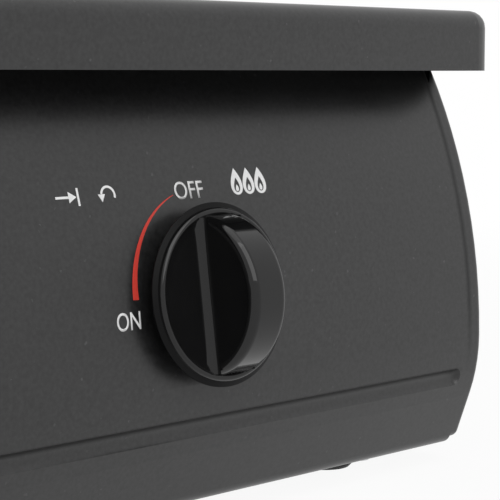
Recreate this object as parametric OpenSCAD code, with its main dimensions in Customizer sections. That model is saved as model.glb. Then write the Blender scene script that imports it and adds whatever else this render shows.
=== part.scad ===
// Two-burner tabletop gas stove.
// The front faces -Y, +Z is up and the feet stand on z = 0.
// Pieces of a burner are drawn for the right side and mirrored for the left.

/* [Top plate] */
// Width of the top plate
plate_w = 598; // [580:1:640]
// Depth of the top plate, front to back
plate_d = 358; // [345:1:400]
// Height of the plate's upper face above the table
plate_top = 135; // [131:1:142]
// Height of the folded lip round the plate
plate_lip = 17.5; // [13:0.5:20]
// Radius where the upper face rolls into the lip
plate_edge_r = 5; // [3:0.5:6]
// Corner radius of the plate seen from above
plate_corner_r = 9; // [7:1:11]
// Thickness of the sheet metal
sheet = 1; // [0.8:0.1:1.2]
// Clear radius of each burner opening
opening_r = 100; // [96:1:104]
// Radius of the rolled edge of an opening
opening_roll_r = 3; // [2:0.5:4]
// Depth of the collar below the rolled edge
opening_collar = 3; // [2:0.5:6]
// Width of the flat land round an opening
opening_land = 14; // [12:1:18]
// Radius of the pressed bead round the land
bead_r = 3; // [2:0.5:4]

/* [Body] */
// Distance from the plate's edge in to the side panels
side_inset = 4; // [3:0.5:8]
// Distance from the plate's rear edge in to the rear panel
rear_inset = 6; // [6:0.5:12]
// Height of the body's lower edge above the table
panel_bottom = 6; // [4:0.5:10]
// Radius of the front panel's upper sweep
panel_r = 171; // [160:1:200]
// Radius of the front panel's lower sweep
panel_low_r = 51; // [44:1:56]
// Lean of the straight face below the lower sweep, as its run over its length
panel_lean = 0.352; // [0.28, 0.352]
// Radius of the fold at the panel's lower edge
hem_r = 4; // [3.8:0.1:5]
// Height of the panel's most forward line
bulge_z = 39; // [37:0.5:44]
// How far that line stands in front of the plate's edge
bulge_out = 0.2; // [0:0.1:3]
// Width of the folded flanges that join the sheets
flange_w = 12; // [10:1:14]
// Width of the border that each side panel folds in behind the front panel
rim_w = 9; // [8:0.25:9.5]
// Width of that border left in sight beside the front panel
rim_show = 6.6; // [5:0.2:7]
// Bend radius of that border
rim_bend = 2.5; // [2:0.1:2.5]
// Length of the notch at the border's upper end, below the plate's lip
rim_notch = 6.5; // [4:0.5:10]
// Radius of the pressed crease low on the front panel
crease_r = 3.3; // [3:0.1:4]
// Depth of the pressed crease
crease_depth = 1.4; // [0.8:0.1:1.6]
// Position of the crease round the lower sweep
crease_angle = 12.8; // [11:0.2:14]
// Distance from the body's end to the end of the crease
crease_inset = 13.5; // [13:0.5:30]
// Height of the base pan's walls
pan_wall = 10; // [8:1:14]
// Length of a vent slot in the base pan
vent_l = 34; // [26:1:40]
// Width of a vent slot
vent_w = 5; // [4:0.5:7]
// Vent slots under each burner
vent_count = 8; // [6:1:10]
// Vent slots in the rear panel
rear_vent_count = 12; // [8:1:14]
// Height of a vent slot in the rear panel
rear_vent_h = 30; // [20:1:40]
// Clearance between sheets that lie side by side
sheet_gap = 0.2; // [0.1:0.05:0.25]

/* [Feet and screws] */
// Radius of a rubber foot
foot_r = 9; // [8:0.5:12]
// Distance from the body's side to a foot's centre
foot_inset_x = 35; // [28:1:60]
// Gap between a foot and the folded flange next to it
foot_gap = 0.7; // [0.5:0.1:12]
// Radius of the plug that holds a foot
foot_plug_r = 3.5; // [3:0.25:4.5]
// Radius of a screw's shank
screw_r = 1.5; // [1.25:0.25:2]
// Radius of a screw's head
screw_head_r = 3.2; // [3:0.1:3.6]
// Height of a screw's head
screw_head_h = 1.6; // [1.2:0.2:2]

/* [Knobs] */
// Distance of each knob from the middle
knob_x = 180; // [172:1:190]
// Height of the knob's axis where it leaves the panel
knob_z = 61; // [58:0.5:66]
// Radius of the knob's round skirt
skirt_r = 23.2; // [22:0.1:25]
// Thickness of the skirt
skirt_h = 2.2; // [2.2:0.1:2.8]
// Slope of the skirt's wall from the knob's axis
skirt_slope = 15; // [10:1:20]
// How far the skirt's foot flares out past its rim
skirt_flare = 1.4; // [1:0.1:2]
// Height of that flared foot
skirt_foot = 0.9; // [0.7:0.1:1]
// Rounding of the skirt's raised rim
skirt_edge_r = 1; // [0.8:0.1:1.1]
// Depth of the skirt's face below that rim
skirt_dish = 0.8; // [0.4:0.1:1]
// Width of the bank from the rim down to that face
skirt_bank = 2.4; // [2:0.1:3]
// Gap between the skirt and the panel
knob_gap = 4.2; // [2.8:0.1:5]
// Radius of the half-moon grip
grip_r = 20.5; // [19:0.5:21]
// Thickness of the grip
grip_w = 12; // [10:0.5:14]
// Rounding of the grip's edges
grip_edge_r = 2.2; // [1:0.2:3]
// Fillet where the grip meets the skirt
grip_foot_r = 2.5; // [1:0.25:3]
// Height of the grip's centre over the panel
grip_rise = 1.7; // [0.5:0.1:2.5]
// Radius of the hub behind the skirt
hub_r = 6.5; // [5.5:0.5:7]
// Radius of the hole in the panel for the hub
panel_hole_r = 9; // [8:0.5:10]

/* [Valves] */
// Radius of the valve stem
stem_r = 3; // [2.75:0.25:3.5]
// Depth of the stem inside the knob, from the panel
stem_out = 14; // [12:0.5:15]
// Clearance of running fits, in radius
run_gap = 0.05; // [0.03:0.01:0.08]
// Distance from the panel to the valve's front wall
valve_face = 22; // [20:0.5:24]
// Length of the valve's barrel
valve_len = 36; // [34:1:40]
// Radius of the valve's barrel
barrel_r = 13; // [12:0.5:14]
// Radius of the plug's bore
plug_r = 7; // [6:0.5:8]
// Radius of the guide cup on the valve's front
cup_r = 11; // [10.5:0.5:12]
// Wall of the guide cup
cup_wall = 2.5; // [2:0.25:3]
// Depth of the guide cup
cup_l = 17; // [16.5:0.5:18]
// Thickness of the push sleeve
sleeve_h = 3; // [2.5:0.25:3.5]
// Width of the tongue that keeps the sleeve from turning
tongue_w = 4; // [3:0.5:5]
// Radius of the return spring's wire
wire_r = 0.45; // [0.35:0.05:0.55]
// Mean radius of the return spring
spring_r = 6; // [5:0.25:6.5]
// Curls of the return spring
spring_turns = 5; // [4:1:6]
// Distance of the gas pipe below the valve's axis
pipe_drop = 22; // [21:0.5:24]
// Outer radius of the gas pipe
pipe_r = 6.5; // [5.5:0.25:7]
// Wall of the gas pipe
pipe_wall = 1.5; // [1:0.25:2]

/* [Gas inlet] */
// Distance of the inlet from the middle
inlet_x = 235; // [228:1:250]
// Radius of the hose nipple
nipple_r = 4.75; // [4:0.25:6]
// Bore of the hose nipple
nipple_bore_r = 3; // [2.5:0.25:3.25]
// Reach of the nipple behind the rear panel
inlet_out = 26; // [24:1:36]
// Bend radius of the pipe
pipe_bend = 20; // [14:1:24]

/* [Burners] */
// Distance of each burner from the middle
burner_x = 156; // [150:1:160]
// Distance of the burners behind the plate's middle
burner_back = 8; // [2:1:12]
// Outer radius of the burner cap
cap_r = 41; // [38:0.5:43]
// Wall of the burner cap
cap_wall = 5; // [4:0.5:6]
// Height of the burner cap
cap_h = 26; // [24:0.5:28]
// Rounding of the cap's upper edge
cap_edge_r = 4; // [2:0.5:5]
// Flame ports round the cap
port_count = 36; // [24:1:44]
// Radius of a flame port
port_r = 1.1; // [0.8:0.1:1.4]
// Depth of the cap's seat below the plate's upper face
seat_drop = 22; // [20:0.5:24]
// Radius of the mixing chamber
chamber_r = 32; // [30:0.5:34]
// Height of the chamber's floor above the table
chamber_bottom = 46; // [44:0.5:48]
// Wall of the burner casting
cast_wall = 3; // [2.5:0.25:3.5]
// Height of the mixing tube's axis
mix_z = 61; // [60.5:0.5:63]
// Radius of the mixing tube at its throat
throat_r = 10; // [9:0.5:11]
// Radius of the mixing tube's mouth
mouth_r = 14; // [13:0.5:15]
// Length of the round mouth
mouth_l = 14; // [12:1:16]
// Sheet thickness of the air shutter
shutter_t = 1.2; // [1:0.1:1.5]
// Length of the injector's nozzle
nozzle_l = 9; // [8:0.5:10]
// Radius of the injector's nozzle
nozzle_r = 3; // [2.5:0.25:3.5]
// Distance of the electrode from the burner's axis
spark_r = 45.5; // [45:0.25:46]
// Radius of the electrode's insulator
insulator_r = 2.5; // [2:0.25:2.75]

/* [Drip trays] */
// Width of the tray's rim on the plate
tray_rim = 6; // [5:0.5:8]
// Depth of the tray
tray_depth = 14; // [10:1:16]
// Radius of the hole in the tray
tray_hole_r = 50; // [49.5:0.5:54]
// Height of the collar round that hole
tray_collar = 7; // [4:0.5:9]
// Width of the tray's sloping wall
tray_slope = 9; // [6:1:12]
// Thickness of the tray
tray_t = 1; // [0.8:0.1:1.2]

/* [Pan supports] */
// Height of the pan support over the plate
support_h = 24; // [22:0.5:30]
// Height of the support's ring
ring_h = 5; // [4:0.5:7]
// Width of the support's ring
ring_w = 6; // [5:0.5:8]
// Fingers on each support
finger_count = 6; // [5:1:8]
// Thickness of a finger
finger_t = 5.5; // [4:0.5:7]
// Height of a finger's bar
finger_h = 7; // [6:0.5:9]
// Distance of the fingers' tips from the burner's axis
finger_tip_r = 46; // [45:0.5:60]

/* [Hidden] */
$fn = 64;
SMOOTH = 180;
LEFT = -1;
RIGHT = 1;
// Overlap that keeps a cut clear of the faces it passes
cut = 1;
// Gap under a piece that rests on another
seat_gap = 0.1;

// Frame: the whole part, knob front to nipple end, is centred on y = 0
body_x = plate_w / 2 - side_inset;
inner_x = body_x - sheet - sheet_gap;
knob_tilt = asin((knob_z - bulge_z) / panel_r);
arc_from_plate = -plate_d / 2 - bulge_out + panel_r;
knob_front = arc_from_plate - (panel_r + grip_rise) * cos(knob_tilt) - grip_r;
inlet_end = plate_d / 2 - rear_inset + inlet_out;
plate_y = -(knob_front + inlet_end) / 2;
plate_front = plate_y - plate_d / 2;
arc_y = plate_y + arc_from_plate;
rear_y = plate_y + plate_d / 2 - rear_inset;
burner_y = plate_y + burner_back;
under_plate = plate_top - sheet;
// The plate's flat underside, clear of its rolled edge and corners
flat_x = plate_w / 2 - plate_corner_r;
side_top = plate_top - plate_edge_r;

// Front panel profile: u runs forward and v up from the upper sweep's centre
panel_low_angle = asin(panel_lean);
low_c = panel_r - panel_low_r;
top_v = under_plate - bulge_z;
hem_v = panel_bottom - bulge_z + hem_r;
low_end_v = -panel_low_r * sin(panel_low_angle);
straight_l = (low_end_v - hem_v + hem_r * sin(panel_low_angle)) / cos(panel_low_angle);
hem_u = low_c + (panel_low_r - hem_r) * cos(panel_low_angle) - straight_l * sin(panel_low_angle);
top_u = sqrt(pow(panel_r, 2) - pow(top_v, 2));
hem_end_u = hem_u - flange_w;
front_x = body_x - rim_show;
// Depth of the side panels' border behind the front panel's face
rim_drop = sheet + sheet_gap;
rim_web = 30;
// Angle by which a bend runs on where it is cut off
bend_spare = 5;
hem_end_y = arc_y - hem_end_u;
top_flange_y = arc_y - top_u + flange_w;

// Base pan
pan_z = panel_bottom + sheet;
pan_top = pan_z + sheet;
pan_front = arc_y - hem_u + 3 * sheet_gap;
pan_rear = rear_y - 2 * sheet - sheet_gap;

// Knob and valve, along the knob's axis from the panel's face
skirt_top = knob_gap + skirt_h;
skirt_face = skirt_top - skirt_dish;
hub_reach = 2.2;
stem_flat = 0.6 * stem_r;
sleeve_front = -(valve_face - cup_l) - 1;
sleeve_back = sleeve_front - sleeve_h;
valve_mid = -valve_face - valve_len / 2;
valve_back = -valve_face - valve_len;
plug_front = -valve_face - 6;
plug_back = valve_back + 8;
gas_bore_r = 2.5;
magnet_at = valve_back + 10;
magnet_out = barrel_r + 6;
outlet_y = arc_y - (panel_r + valve_back) * cos(knob_tilt) + 8;
outlet_bore_r = 3.5;
mix_x = knob_x - 6;
mouth_y = outlet_y + nozzle_l - 0.5;

// Igniter, on a pad beside the valve
pad_t = 2;
igniter_t = 14;
igniter_h = 20;
igniter_low = -9;
igniter_l = valve_len - 10;
igniter_back = valve_back + 4;
terminal_x = -barrel_r - pad_t - igniter_t / 2;
terminal_u = 2;
terminal_back = igniter_back - 3;

// Burner
seat_z = plate_top - seat_drop;
cap_in_r = cap_r - cap_wall;
port_z = seat_z + cap_h - 8;
spark_y = burner_y - spark_r;
sensor_angle = -60;
sensor_x = burner_x + spark_r * cos(sensor_angle);
sensor_y = burner_y + spark_r * sin(sensor_angle);
ear_z = seat_z - 20;
ear_t = 3;
// Ends of the insulator and of the wire below the ear
insulator_end = ear_z - 8;
wire_end = ear_z - 11;
collar_t = 2;
collar_w = 1.5;

// Tray and pan support
tray_r = opening_r + opening_roll_r + tray_rim;
bowl_r = opening_r - 3;
support_z = plate_top + tray_t + 2 * seat_gap;
support_r = tray_r - 2;
support_top = plate_top + support_h;

// Gas pipe: below the valves, then back to the inlet
pipe_y = knob_point(0, -pipe_drop, valve_mid)[1];
pipe_z = knob_point(0, -pipe_drop, valve_mid)[2];
pipe_end_x = knob_x + barrel_r + 2;

PAINT = "#484a4c";
STEEL = "#b9bcc0";
CAST = "#3a3a3c";
BRASS = "#c8a24a";
BLACK = "#141414";
CERAMIC = "#e8e4da";
RED_LEAD = "#5a2320";
BROWN_LEAD = "#8a5a3a";

// Point at x, u across and w along the right knob's axis, as x, y, z of the part
function knob_point(x, u, w) = [
    knob_x + x,
    arc_y - (panel_r + w) * cos(knob_tilt) + u * sin(knob_tilt),
    bulge_z + (panel_r + w) * sin(knob_tilt) + u * cos(knob_tilt)
];

// Helix round +Z
function helix(turns, steps, r, z0, z1) = [
    for (i = [0 : turns * steps])
        let (t = i / (turns * steps))
        [r * cos(360 * turns * t), r * sin(360 * turns * t), z0 + (z1 - z0) * t]
];

// Least gap between parts of a tube that lie at least half a turn apart
function least_gap(path, skip, r) = min([
    for (i = [0 : len(path) - 1 - skip])
        for (j = [i + skip : len(path) - 1])
            norm(path[i] - path[j]) - 2 * r
]);

// Smooth path through points, as a uniform cubic spline
function spline_point(a, b, c, d, t) = 0.5 * (2 * b + (c - a) * t
    + (2 * a - 5 * b + 4 * c - d) * pow(t, 2) + (3 * b - a - 3 * c + d) * pow(t, 3));
function spline(points, steps) = let (last = len(points) - 1) concat(
    [for (i = [0 : last - 1])
        for (k = [0 : steps - 1])
            spline_point(points[max(i - 1, 0)], points[i], points[i + 1],
                points[min(i + 2, last)], k / steps)],
    [points[last]]
);

function unit(v) = v / norm(v);
function tangent(path, i) = unit(path[min(i + 1, len(path) - 1)] - path[max(i - 1, 0)]);

// Round tube along a path; up is never parallel to the path
module tube(path, r, sides, up) {
    rings = len(path);
    points = [
        for (i = [0 : rings - 1])
            let (t = tangent(path, i), n = unit(cross(t, up)), b = cross(t, n))
            for (j = [0 : sides - 1])
                path[i] + r * (cos(360 * j / sides) * n + sin(360 * j / sides) * b)
    ];
    walls = [
        for (i = [0 : rings - 2])
            for (j = [0 : sides - 1])
                let (a = i * sides + j, b = i * sides + (j + 1) % sides)
                each [[a, a + sides, b], [b, a + sides, b + sides]]
    ];
    ends = [
        for (j = [1 : sides - 2])
            each [[0, j, j + 1], [for (k = [j + 1, j, 0]) (rings - 1) * sides + k]]
    ];
    polyhedron(points = points, faces = concat(walls, ends));
}

// Places right-side children on either side
module at_side(side) {
    mirror([side == LEFT ? 1 : 0, 0, 0]) children();
}

// Frame on the right knob's axis: z runs out of the panel from its face, y up
module on_knob() {
    translate([knob_x, arc_y, bulge_z])
        rotate([90 - knob_tilt, 0, 0])
            translate([0, 0, panel_r])
                children();
}

module on_burner() {
    translate([burner_x, burner_y, 0]) children();
}

// Sweeps a u, v profile across the body
module sweep_x(x0, x1) {
    translate([x1, arc_y, bulge_z])
        rotate([90, 0, -90])
            linear_extrude(x1 - x0)
                children();
}

// Stretch of sheet bent round the origin from angle a0 to a1, with its outer face at r
module bent_sheet(r, a0, a1) {
    far = 2 * r;
    intersection() {
        difference() {
            circle(r = r, $fn = SMOOTH);
            circle(r = r - sheet, $fn = SMOOTH);
        }
        polygon([[0, 0], far * [cos(a0), sin(a0)], far * [cos(a1), sin(a1)]]);
    }
}

// Frame with its origin at the lower sweep's centre and its x axis square to the straight face
module on_low_sweep() {
    translate([low_c, 0, 0]) rotate([0, 0, -panel_low_angle]) children();
}

module front_section() {
    a = panel_low_angle;
    intersection() {
        bent_sheet(panel_r, -bend_spare, 45);
        square([2 * panel_r, top_v]);
    }
    intersection() {
        circle(r = panel_r, $fn = SMOOTH);
        translate([top_u - flange_w, top_v - sheet]) square([panel_r, sheet]);
    }
    // both sweeps run on past the line where they meet and are cut off there
    intersection() {
        on_low_sweep() {
            bent_sheet(panel_low_r, 0, a + bend_spare);
            translate([panel_low_r - sheet, -straight_l]) square([sheet, straight_l]);
            translate([panel_low_r - hem_r, -straight_l]) {
                intersection() {
                    bent_sheet(hem_r, a - 90 - bend_spare, 0);
                    rotate(a) translate([0, -2 * hem_r]) square([2 * hem_r, 4 * hem_r]);
                }
                rotate(a) translate([-flange_w, -hem_r]) square([flange_w, sheet]);
            }
        }
        translate([0, -panel_r]) square([2 * panel_r, panel_r]);
    }
}

// Round-ended bar across the front at the crease
module crease_bar(r) {
    half = body_x - crease_inset;
    reach = panel_low_r + crease_r - crease_depth;
    translate([0, arc_y - low_c - reach * cos(crease_angle), bulge_z - reach * sin(crease_angle)]) {
        rotate([0, 90, 0]) cylinder(r = r, h = 2 * half, center = true);
        for (x = [-half, half]) translate([x, 0, 0]) sphere(r = r);
    }
}

module base_screw_places() {
    for (x = [-1, 0, 1]) {
        translate([x * (inner_x - 3 * flange_w), hem_end_y - flange_w / 2, 0]) children();
        translate([x * (inner_x - 3 * flange_w), rear_y - flange_w / 2 - sheet, 0]) children();
    }
}

module rear_screw_places() {
    for (x = [-1, 1])
        for (z = [panel_bottom + 2 * flange_w, side_top - 2 * flange_w])
            translate([x * (body_x - flange_w / 2 - sheet), rear_y, z])
                rotate([90, 0, 0])
                    children();
}

module front_panel() {
    color(PAINT) difference() {
        union() {
            sweep_x(-front_x, front_x) front_section();
            intersection() {
                crease_bar(crease_r + sheet);
                translate([0, arc_y - low_c, bulge_z]) rotate([0, 90, 0])
                    cylinder(r = panel_low_r - sheet / 2, h = 2 * body_x, center = true);
            }
        }
        crease_bar(crease_r);
        for (side = [LEFT, RIGHT]) at_side(side) {
            on_knob() cylinder(r = panel_hole_r, h = 4 * sheet, center = true);
            // upper corner cut back from the plate's rolled edge
            translate([flat_x, plate_front, side_top]) cube([plate_w, plate_d / 2, plate_edge_r]);
        }
        base_screw_places() cylinder(r = screw_r + sheet_gap, h = 4 * panel_bottom, center = true);
    }
}

// Section of the side panel's border: x is the radius, y the distance from the middle.
// web is the width of the flat side that goes with it.
module rim_section(face_r, web) {
    r = face_r - rim_drop;
    translate([r - sheet, -body_x + rim_bend]) square([sheet, rim_w - rim_bend]);
    intersection() {
        translate([r - rim_bend, -body_x + rim_bend]) difference() {
            circle(r = rim_bend);
            circle(r = rim_bend - sheet);
        }
        translate([r - rim_bend, -body_x]) square(rim_bend);
    }
    translate([r - rim_bend - web, -body_x]) square([web, sheet]);
}

// Frame of the front panel's u, v profile, with z towards the left
module on_profile() {
    translate([0, arc_y, bulge_z]) rotate([90, 0, -90]) children();
}

// Border of the right side panel along the upper sweep, the lower sweep and the hem
module high_rim() {
    on_profile() rotate_extrude(angle = 45, $fn = SMOOTH) rim_section(panel_r, rim_web);
}

module low_rim() {
    on_profile() intersection() {
        on_low_sweep() {
            rotate_extrude(angle = panel_low_angle + bend_spare, $fn = SMOOTH)
                rim_section(panel_low_r, rim_web);
            rotate([90, 0, 0]) linear_extrude(straight_l) rim_section(panel_low_r, rim_web);
        }
        translate([0, -panel_r, -plate_w]) cube([2 * panel_r, panel_r, 2 * plate_w]);
    }
}

module hem_rim() {
    on_profile() on_low_sweep()
        translate([panel_low_r - hem_r, -straight_l, 0]) mirror([0, 1, 0])
            rotate_extrude(angle = 90 - panel_low_angle + bend_spare)
                rim_section(hem_r, hem_r - rim_drop - rim_bend);
}

// Flat of a side panel behind its border
module side_web() {
    inset = rim_web / 2;
    back = arc_y - rear_y + sheet;
    low = panel_bottom - bulge_z;
    high = side_top - bulge_z;
    mid_low = panel_low_angle / 2;
    mid_high = 8;
    polygon([
        [back, low], [hem_end_u, low], [hem_end_u, low + rim_drop], [hem_u, low + rim_drop],
        [hem_u, hem_v],
        [low_c, 0] + (panel_low_r - inset) * [cos(mid_low), -sin(mid_low)],
        (panel_r - inset) * [cos(mid_high), sin(mid_high)],
        [top_u - inset, high], [back, high]
    ]);
}

module side_panel(side) {
    z0 = panel_bottom;
    low_y = hem_end_y + sheet_gap;
    high_y = top_flange_y + sheet_gap;
    end_y = rear_y - flange_w - sheet - sheet_gap;
    color(PAINT) at_side(side) difference() {
        intersection() {
            union() {
                sweep_x(body_x - sheet, body_x) side_web();
                high_rim();
                low_rim();
                hem_rim();
                translate([body_x - flange_w, low_y, z0]) cube([flange_w, end_y - low_y, sheet]);
                translate([body_x - flange_w, high_y, side_top - sheet])
                    cube([flange_w, end_y - high_y, sheet]);
                translate([body_x - flange_w, rear_y - 2 * sheet, z0 + 2 * sheet])
                    cube([flange_w, sheet, side_top - z0 - 3 * sheet]);
            }
            translate([0, -plate_d, z0]) cube([plate_w, 2 * plate_d, side_top - z0]);
        }
        // notch where the border runs up under the plate's lip
        intersection() {
            translate([front_x, plate_front - cut, plate_top - plate_lip - rim_notch])
                rotate([0, atan((rim_show - rim_bend) / rim_notch), 0])
                    mirror([1, 0, 0]) cube([plate_lip, 4 * flange_w, 2 * plate_lip + rim_notch]);
            translate([0, -plate_d, 0]) cube([body_x - rim_bend, 2 * plate_d, plate_top]);
        }
        rear_screw_places() cylinder(r = screw_r + sheet_gap, h = 8 * sheet, center = true);
    }
}

// Round-ended slot of length l between its ends' centres, along x
module slot(l) {
    linear_extrude(4 * sheet, center = true) {
        square([l, vent_w], center = true);
        for (s = [-1, 1]) translate([s * l / 2, 0]) circle(r = vent_w / 2);
    }
}

module rear_panel() {
    vent_end = inner_x - 4 * flange_w;
    vent_pitch = 2 * vent_end / (rear_vent_count - 1);
    vent_z = (panel_bottom + under_plate + rear_vent_h) / 2;
    color(PAINT) difference() {
        union() {
            translate([-body_x, rear_y - sheet, panel_bottom])
                cube([2 * body_x, sheet, side_top - panel_bottom]);
            translate([-flat_x, rear_y - sheet, panel_bottom])
                cube([2 * flat_x, sheet, under_plate - panel_bottom]);
            translate([-inner_x, rear_y - flange_w - sheet, panel_bottom])
                cube([2 * inner_x, flange_w + sheet, sheet]);
            translate([-flat_x, rear_y - flange_w - sheet, under_plate - sheet])
                cube([2 * flat_x, flange_w + sheet, sheet]);
        }
        for (i = [0 : rear_vent_count - 1])
            translate([i * vent_pitch - vent_end, rear_y, vent_z]) rotate([90, 90, 0]) slot(rear_vent_h);
        translate([inlet_x, rear_y, pipe_z]) rotate([90, 0, 0])
            cylinder(r = pipe_r + sheet_gap, h = 4 * sheet, center = true);
        rear_screw_places() cylinder(r = screw_r + sheet_gap, h = 4 * sheet, center = true);
        base_screw_places() cylinder(r = screw_r + sheet_gap, h = 4 * panel_bottom, center = true);
    }
}

module foot_places() {
    for (x = [-1, 1])
        for (y = [hem_end_y + foot_gap + foot_r, rear_y - flange_w - sheet - foot_gap - foot_r])
            translate([x * (body_x - foot_inset_x), y, 0])
                children();
}

module base_pan() {
    depth = pan_rear - pan_front;
    color(PAINT) difference() {
        translate([-inner_x, pan_front, pan_z]) difference() {
            cube([2 * inner_x, depth, pan_wall]);
            translate([sheet, sheet, sheet])
                cube([2 * (inner_x - sheet), depth - 2 * sheet, pan_wall]);
        }
        foot_places() cylinder(r = foot_plug_r + sheet_gap, h = 4 * pan_top, center = true);
        base_screw_places() cylinder(r = screw_r + sheet_gap, h = 4 * pan_top, center = true);
        for (side = [LEFT, RIGHT], i = [0 : vent_count - 1])
            at_side(side) on_burner()
                rotate([0, 0, 360 * (i + 0.5) / vent_count])
                    translate([chamber_r + vent_l, 0, pan_z]) slot(vent_l);
    }
}

module rubber_feet() {
    head_h = 3;
    head_w = 1;
    foot_edge = 1;
    foot_taper = 0.5;
    color(BLACK) foot_places() rotate_extrude() {
        polygon([
            [0, 0], [foot_r - foot_taper - foot_edge, 0], [foot_r - foot_taper, foot_edge],
            [foot_r, pan_z], [0, pan_z]
        ]);
        square([foot_plug_r, pan_top + head_h]);
        translate([0, pan_top])
            polygon([[0, 0], [foot_plug_r + head_w, 0], [foot_plug_r - head_w, head_h], [0, head_h]]);
    }
}

// Screw with its head's seat at z = 0 and its shank along +Z
module screw(shank) {
    head_edge = 0.6;
    rotate_extrude() {
        translate([0, -sheet_gap]) square([screw_r, shank]);
        difference() {
            translate([0, -screw_head_h]) square([screw_head_r, screw_head_h]);
            translate([screw_head_r - head_edge, -screw_head_h]) rotate(-45) square(screw_head_r);
        }
    }
}

module base_screws() {
    color(STEEL) base_screw_places() translate([0, 0, panel_bottom]) screw(6);
}

module rear_screws() {
    color(STEEL) rear_screw_places() screw(7);
}

// Outline of a plate with round corners, centred on the plate
module round_rect(w, d, r) {
    square([w - 2 * r, d], center = true);
    square([w, d - 2 * r], center = true);
    for (x = [-1, 1], y = [-1, 1])
        translate([x * (w / 2 - r), y * (d / 2 - r)]) circle(r = r);
}

// Section of the folded lip: x is the distance from a corner's centre, y the height
module lip_section(r) {
    translate([r - sheet, plate_top - plate_lip]) square([sheet, plate_lip - plate_edge_r]);
    intersection() {
        translate([r - plate_edge_r, plate_top - plate_edge_r]) difference() {
            circle(r = plate_edge_r);
            circle(r = plate_edge_r - sheet);
        }
        translate([r - plate_edge_r, plate_top - plate_edge_r]) square(plate_edge_r);
    }
}

// Land, pressed bead and rolled collar round an opening
module opening_section() {
    bead_at = opening_r + opening_roll_r + opening_land;
    roll = opening_roll_r;
    translate([opening_r, plate_top - roll - opening_collar]) square([sheet, opening_collar]);
    intersection() {
        translate([opening_r + roll, plate_top - roll]) difference() {
            circle(r = roll);
            circle(r = roll - sheet);
        }
        translate([opening_r, plate_top - roll]) square(roll);
    }
    difference() {
        union() {
            translate([opening_r + roll, under_plate]) square([opening_land + bead_r, sheet]);
            intersection() {
                translate([bead_at, under_plate]) circle(r = bead_r);
                translate([bead_at - bead_r, under_plate]) square(2 * bead_r);
            }
        }
        translate([bead_at, under_plate]) circle(r = bead_r - sheet);
    }
}

module top_plate() {
    x = plate_w / 2 - plate_corner_r;
    y = plate_d / 2 - plate_corner_r;
    hole_r = opening_r + opening_roll_r + opening_land + bead_r;
    color(PAINT) {
        translate([0, plate_y, 0]) {
            for (side = [0, 1]) {
                rotate(180 * side) {
                    translate([x, y, 0]) rotate_extrude(angle = 90) lip_section(plate_corner_r);
                    translate([x, y, 0]) rotate([90, 0, 0]) linear_extrude(2 * y)
                        lip_section(plate_corner_r);
                    translate([-x, y, 0]) rotate(90) rotate_extrude(angle = 90)
                        lip_section(plate_corner_r);
                    translate([-x, y, 0]) rotate([90, 0, 90]) linear_extrude(2 * x)
                        lip_section(plate_corner_r);
                }
            }
            translate([0, 0, under_plate]) linear_extrude(sheet) difference() {
                round_rect(plate_w - 2 * plate_edge_r, plate_d - 2 * plate_edge_r,
                    plate_corner_r - plate_edge_r);
                for (s = [-1, 1]) translate([s * burner_x, burner_back]) circle(r = hole_r);
            }
        }
        for (s = [-1, 1]) translate([s * burner_x, burner_y, 0])
            rotate_extrude($fn = SMOOTH) opening_section();
    }
}

module pipe_run(r, spare) {
    translate([-pipe_end_x - spare, pipe_y, pipe_z]) rotate([0, 90, 0])
        cylinder(r = r, h = pipe_end_x + inlet_x - pipe_bend + spare);
    translate([inlet_x - pipe_bend, pipe_y + pipe_bend, pipe_z]) rotate(-90)
        rotate_extrude(angle = 90) translate([pipe_bend, 0]) circle(r = r);
    translate([inlet_x, pipe_y + pipe_bend, pipe_z]) rotate([-90, 0, 0])
        cylinder(r = r, h = rear_y - pipe_y - pipe_bend + 2 * sheet + spare);
}

module gas_pipe() {
    color(STEEL) difference() {
        pipe_run(pipe_r, 0);
        difference() {
            pipe_run(pipe_r - pipe_wall, cut);
            translate([-pipe_end_x - 2 * cut, pipe_y - pipe_r, pipe_z - pipe_r])
                cube([2 * cut + pipe_wall, 2 * pipe_r, 2 * pipe_r]);
        }
        for (side = [LEFT, RIGHT]) at_side(side) on_knob()
            translate([0, -pipe_drop, valve_mid]) rotate([-90, 0, 0])
                cylinder(r = gas_bore_r, h = 2 * pipe_r);
    }
}

module pipe_brackets() {
    w = 16;
    half = pipe_r + run_gap;
    color(STEEL) for (x = [-knob_x + 3 * w, knob_x - 3 * w])
        translate([x, pipe_y, 0]) difference() {
            union() {
                translate([-w / 2, -half - sheet, pan_top]) cube([w, 2 * (half + sheet), pipe_z - pan_top]);
                translate([-w / 2, -half - flange_w, pan_top]) cube([w, 2 * (half + flange_w), sheet]);
            }
            translate([-w, -half + sheet, pan_top - cut])
                cube([2 * w, 2 * (half - sheet), pipe_z - half - sheet - pan_top + cut]);
            translate([-w, 0, pipe_z]) rotate([0, 90, 0]) cylinder(r = half, h = 2 * w);
        }
}

module inlet_nipple() {
    nut_r = 1.6 * pipe_r;
    nut_h = 8;
    socket_h = 2 * sheet + sheet_gap;
    color(BRASS) translate([inlet_x, rear_y, pipe_z]) rotate([-90, 0, 0]) difference() {
        union() {
            translate([0, 0, sheet_gap / 2]) cylinder(r = nut_r, h = nut_h, $fn = 6);
            cylinder(r = nipple_r, h = inlet_out);
        }
        translate([0, 0, -cut]) cylinder(r = pipe_r + sheet_gap / 2, h = socket_h + cut);
        cylinder(r = nipple_bore_r, h = inlet_out + cut);
    }
}

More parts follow.
